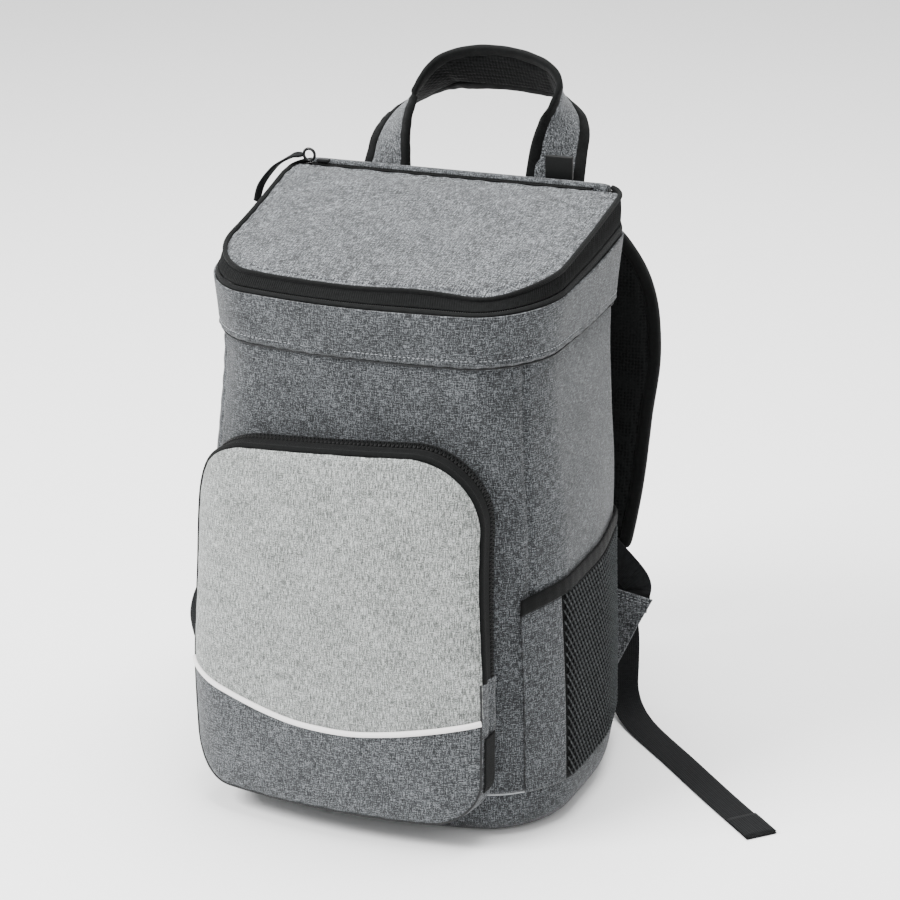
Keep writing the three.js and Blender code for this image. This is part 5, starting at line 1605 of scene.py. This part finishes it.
def make_keeper():
    face = BODY_BACK + BACK_PAD_THICKNESS + KEEPER_SETBACK
    centre = np.array([HANDLE_HALF_SPAN, face - 1.5, KEEPER_BOTTOM + KEEPER_HEIGHT / 2])
    half = [KEEPER_WIDTH / 2, 1.5, KEEPER_HEIGHT / 2]
    plate = rounded_block("handle_keeper_plate", centre, np.eye(3), half, plastic, bevel=1.2)
    keep(plate, "black_plastic", "handle_keeper")


def strap_frames(side, count):
    rows = smooth_rows(STRAP_TABLE, count)
    back = BODY_BACK + BACK_PAD_THICKNESS + STRAP_THICKNESS / 2 + GAP
    centres = stack(
        side * STRAP_REACH * rows["out"],
        back + STRAP_BOW * rows["bow"],
        STRAP_FOOT + STRAP_RISE * rows["rise"],
    )
    hint = np.broadcast_to(np.array([1.0, 0.0, 0.0]), centres.shape)
    return centres, hint, STRAP_WIDTH * rows["wide"]


def make_shoulder_strap(side, word):
    """Padded shoulder strap: spacer mesh towards the wearer, cloth outside, bound along both edges."""
    centres, hint, widths = strap_frames(side, 120)
    _, _, normal = band_frames(centres, hint)
    profile = pad_profile(1.0, STRAP_THICKNESS - 2)
    pad = band(f"shoulder_pad_{word}", centres, hint, profile, mesh_cloth, widths=widths)
    puff(pad, voxel=5.0, cap=2.0)
    forwards = -np.sign(normal[:, 1:2]) * normal
    paint_faces(pad, centres, forwards, mesh_cloth, body_cloth_sewn)
    keep(pad, "black_mesh", f"strap_pad_{word}")
    for edge, letter in ((1, "a"), (-1, "b")):
        name = f"shoulder_edge_tape_{letter}_{word}"
        item = edge_binding(name, centres, hint, widths, edge, STRAP_BINDING + 2, 3.6, 8.2, binding_cloth)
        keep(item, "black_webbing", f"strap_binding_{letter}_{word}")


def make_lock(side, word):
    """Ladder lock: a moulded frame with a middle bar."""
    y = BODY_BACK + BACK_PAD_THICKNESS + STRAP_THICKNESS / 2 + GAP + STRAP_BOW * 0.55
    z = STRAP_FOOT - LOCK_HEIGHT / 2 - LOCK_DROP
    centre = np.array([side * LOCK_PLACE, y - LOCK_THICKNESS / 2, z])
    items = []
    for dz in (-LOCK_HEIGHT / 2 + 1.6, 0.0, LOCK_HEIGHT / 2 - 1.6):
        half = [LOCK_WIDTH / 2, LOCK_THICKNESS / 2, 1.7]
        items.append(rounded_block("bar", centre + np.array([0, 0, dz]), np.eye(3), half, plastic))
    for dx in (-1, 1):
        half = [2.0, LOCK_THICKNESS / 2, LOCK_HEIGHT / 2]
        place = centre + np.array([dx * (LOCK_WIDTH / 2 - 2.0), 0, 0])
        items.append(rounded_block("cheek", place, np.eye(3), half, plastic))
    keep(join(f"strap_lock_{word}", *items), "black_plastic", f"ladder_lock_{word}")


def strap_end_y():
    return BODY_BACK + BACK_PAD_THICKNESS + STRAP_THICKNESS / 2 + GAP + STRAP_BOW * 0.55


def make_tail(side, word):
    """Adjusting webbing below the lock: it drops to the floor and lies there, its end folded over."""
    rows = smooth_rows(RIGHT_TAIL if side > 0 else LEFT_TAIL, 160)
    lock_foot = STRAP_FOOT - LOCK_HEIGHT - LOCK_DROP - 2
    reach = TAIL_REACH if side > 0 else -LEFT_TAIL_REACH
    ahead = TAIL_AHEAD if side > 0 else -TAIL_BEHIND
    centres = stack(
        side * (LOCK_PLACE + reach * rows["out"]),
        strap_end_y() + LOCK_THICKNESS - ahead * rows["ahead"],
        WEBBING_THICKNESS / 2 + GAP / 2 + (lock_foot - WEBBING_THICKNESS) * np.maximum(rows["height"], 0),
    )
    turn = np.radians(rows["turn"])
    hint = np.stack([side * np.cos(turn), np.sin(turn), 0 * turn], -1)
    run = band("run", centres, hint, flat_profile(WEBBING_WIDTH, WEBBING_THICKNESS), webbing_cloth)
    end = centres[-9:] + np.array([0.0, 0.0, WEBBING_THICKNESS])
    fold = band("fold", end, hint[-9:], flat_profile(WEBBING_WIDTH - 0.6, WEBBING_THICKNESS), webbing_cloth)
    keep(join(f"adjusting_webbing_{word}", run, fold), "black_webbing", f"webbing_tail_{word}")


def make_tab(side, word):
    """Anchor tab: a folded triangle of body cloth at the back, with two rows of stitches."""
    near = BODY_BACK + BACK_PAD_THICKNESS + GAP
    x = side * (TAB_INNER + TAB_REACH * TAB_CORNERS["out"])
    z = TAB_BOTTOM + TAB_HEIGHT * TAB_CORNERS["rise"]
    corners = np.stack([x, z], -1)
    ring_flat = []
    for i in range(len(corners)):
        a, b = corners[i], corners[(i + 1) % len(corners)]
        ring_flat.append(mix(a, b, np.linspace(0, 1, 12, endpoint=False)[:, None]))
    outline = np.concatenate(ring_flat)
    middle = outline.mean(0)
    rows = []
    near_side = (0.03, 0.9), (0.7, 0.8), (0.93, 0.6), (0.985, 0.2), (1.0, 1.3)
    far_side = (0.985, 2.4), (0.93, 2.0), (0.7, 1.8), (0.03, 1.7)
    for share, y in near_side + far_side:
        flat = middle + (outline - middle) * share
        rows.append(stack(flat[:, 0], near + y, flat[:, 1]))
    tab = grid(f"anchor_tab_cloth_{word}", np.stack(rows), body_cloth_sewn, wrap=True, caps=True)
    keep(tab, "mid_heather", f"anchor_tab_{word}")
    for k, inset in enumerate((0.9, 0.82)):
        a = middle + (corners[4] - middle) * inset
        b = middle + (corners[3] - middle) * inset
        flat = mix(a, b, np.linspace(0, 1, 20)[:, None])
        path = stack(flat[:, 0], near + 0.5, flat[:, 1])
        seam = stitches(f"anchor_tab_stitches_{k}_{word}", path, np.array([0.0, -1.0, 0.0]), thread_grey)
        keep(seam, "mid_heather")


def make_anchor_webbing(side, word):
    """Short webbing from the tab up to the lock."""
    near = BODY_BACK + BACK_PAD_THICKNESS + GAP
    lock_foot = STRAP_FOOT - LOCK_HEIGHT - LOCK_DROP - 2
    start_x = side * (TAB_INNER + TAB_REACH * 0.78)
    start = np.array([start_x, near + TAB_THICKNESS + 2.5, TAB_BOTTOM + TAB_HEIGHT * 0.72])
    end = np.array([side * LOCK_PLACE, strap_end_y() - LOCK_THICKNESS * 1.6, lock_foot + 14])
    middle = mix(start, end, 0.45) + np.array([side * 12, 0, 2])
    quarter = mix(start, middle, 0.5) + np.array([side * 2, 0, 0])
    places = np.stack([start, quarter, middle, end])
    knots = np.arange(4, dtype=float)
    x = np.linspace(0, 3, 40)
    centres = np.stack([hermite(knots, places[:, k], x) for k in range(3)], -1)
    hint = np.broadcast_to(np.array([side * 0.75, 0, 0.65]), centres.shape)
    profile = flat_profile(WEBBING_WIDTH, WEBBING_THICKNESS)
    item = band(f"anchor_web_{word}", centres, hint, profile, grey_webbing)
    keep(item, "black_webbing", f"anchor_webbing_{word}")


def make_back_pad():
    """Back panel: spacer mesh over foam with upright and level sewn channels."""
    half = BODY_HALF_WIDTH - BACK_CORNER - BACK_PAD_MARGIN
    low, high = BASE_EDGE * 1.6, rim_at(BODY_BACK) + 20
    u = np.sin(np.linspace(-1, 1, 90) * math.pi / 2)
    v = 0.5 - 0.5 * np.cos(np.linspace(0, 1, 130) * math.pi)
    x, z = half * u[None], mix(low, high, v)[:, None]
    edge = np.minimum((half - np.abs(x)), np.minimum(z - low, high - z))
    rise = (BACK_PAD_THICKNESS - 0.3) * smooth(np.clip(edge / 12, 0, 1)) ** 0.6
    for line in (-half / 3, half / 3):
        rise = rise - 2.6 * bump_at(x - line, 4.5) * smooth(edge / 14)
    for line in (150.0, 270.0):
        rise = rise - 2.2 * bump_at(z - line, 4.5) * smooth(edge / 14)
    face = stack(x, BODY_BACK + GAP + rise, z)
    item = solid(grid("back_pad_cloth", face, mesh_cloth), 1.5)
    keep(item, "black_mesh", "back_pad")


make_handle()
make_keeper()
for side, word in ((1, "right"), (-1, "left")):
    make_shoulder_strap(side, word)
    make_lock(side, word)
    make_tail(side, word)
    make_tab(side, word)
    make_anchor_webbing(side, word)
make_back_pad()


# Studio
def make_studio():
    """A pale seamless floor and soft light from above and in front."""
    data = bpy.data.meshes.new("studio_floor")
    reach = 6.0
    corners = [(-reach, -reach, 0), (reach, -reach, 0), (reach, reach, 0), (-reach, reach, 0)]
    data.from_pydata(corners, [], [(0, 1, 2, 3)])
    floor = bpy.data.objects.new("studio_floor", data)
    bpy.context.scene.collection.objects.link(floor)
    material, _, surface = new_material("pale studio paper")
    surface.inputs["Base Color"].default_value = linear("#f4f4f4")
    surface.inputs["Roughness"].default_value = 0.9
    data.materials.append(material)
    world = bpy.data.worlds.new("studio")
    world.use_nodes = True
    world.node_tree.nodes["Background"].inputs[0].default_value = (1, 1, 1, 1)
    world.node_tree.nodes["Background"].inputs[1].default_value = 1.05
    bpy.context.scene.world = world
    lamps = (
        ("key", (-1.5, -1.6, 2.3), 1.2, 185.0),
        ("fill", (1.9, -1.4, 1.4), 1.8, 4.0),
        ("top", (0.1, 0.3, 2.6), 1.6, 140.0),
    )
    for name, place, size, power in lamps:
        lamp = bpy.data.lights.new(name, "AREA")
        lamp.size = size
        lamp.energy = power
        item = bpy.data.objects.new(name, lamp)
        item.location = place
        toward = np.array([0, 0, 0.22]) - np.array(place)
        back = -unit(toward)
        right = unit(np.cross([0, 0, 1], back))
        up = np.cross(back, right)
        rows = [[*row, place[i]] for i, row in enumerate(np.stack([right, up, back], 1))]
        item.matrix_world = Matrix([*rows, [0, 0, 0, 1]])
        bpy.context.scene.collection.objects.link(item)


make_studio()
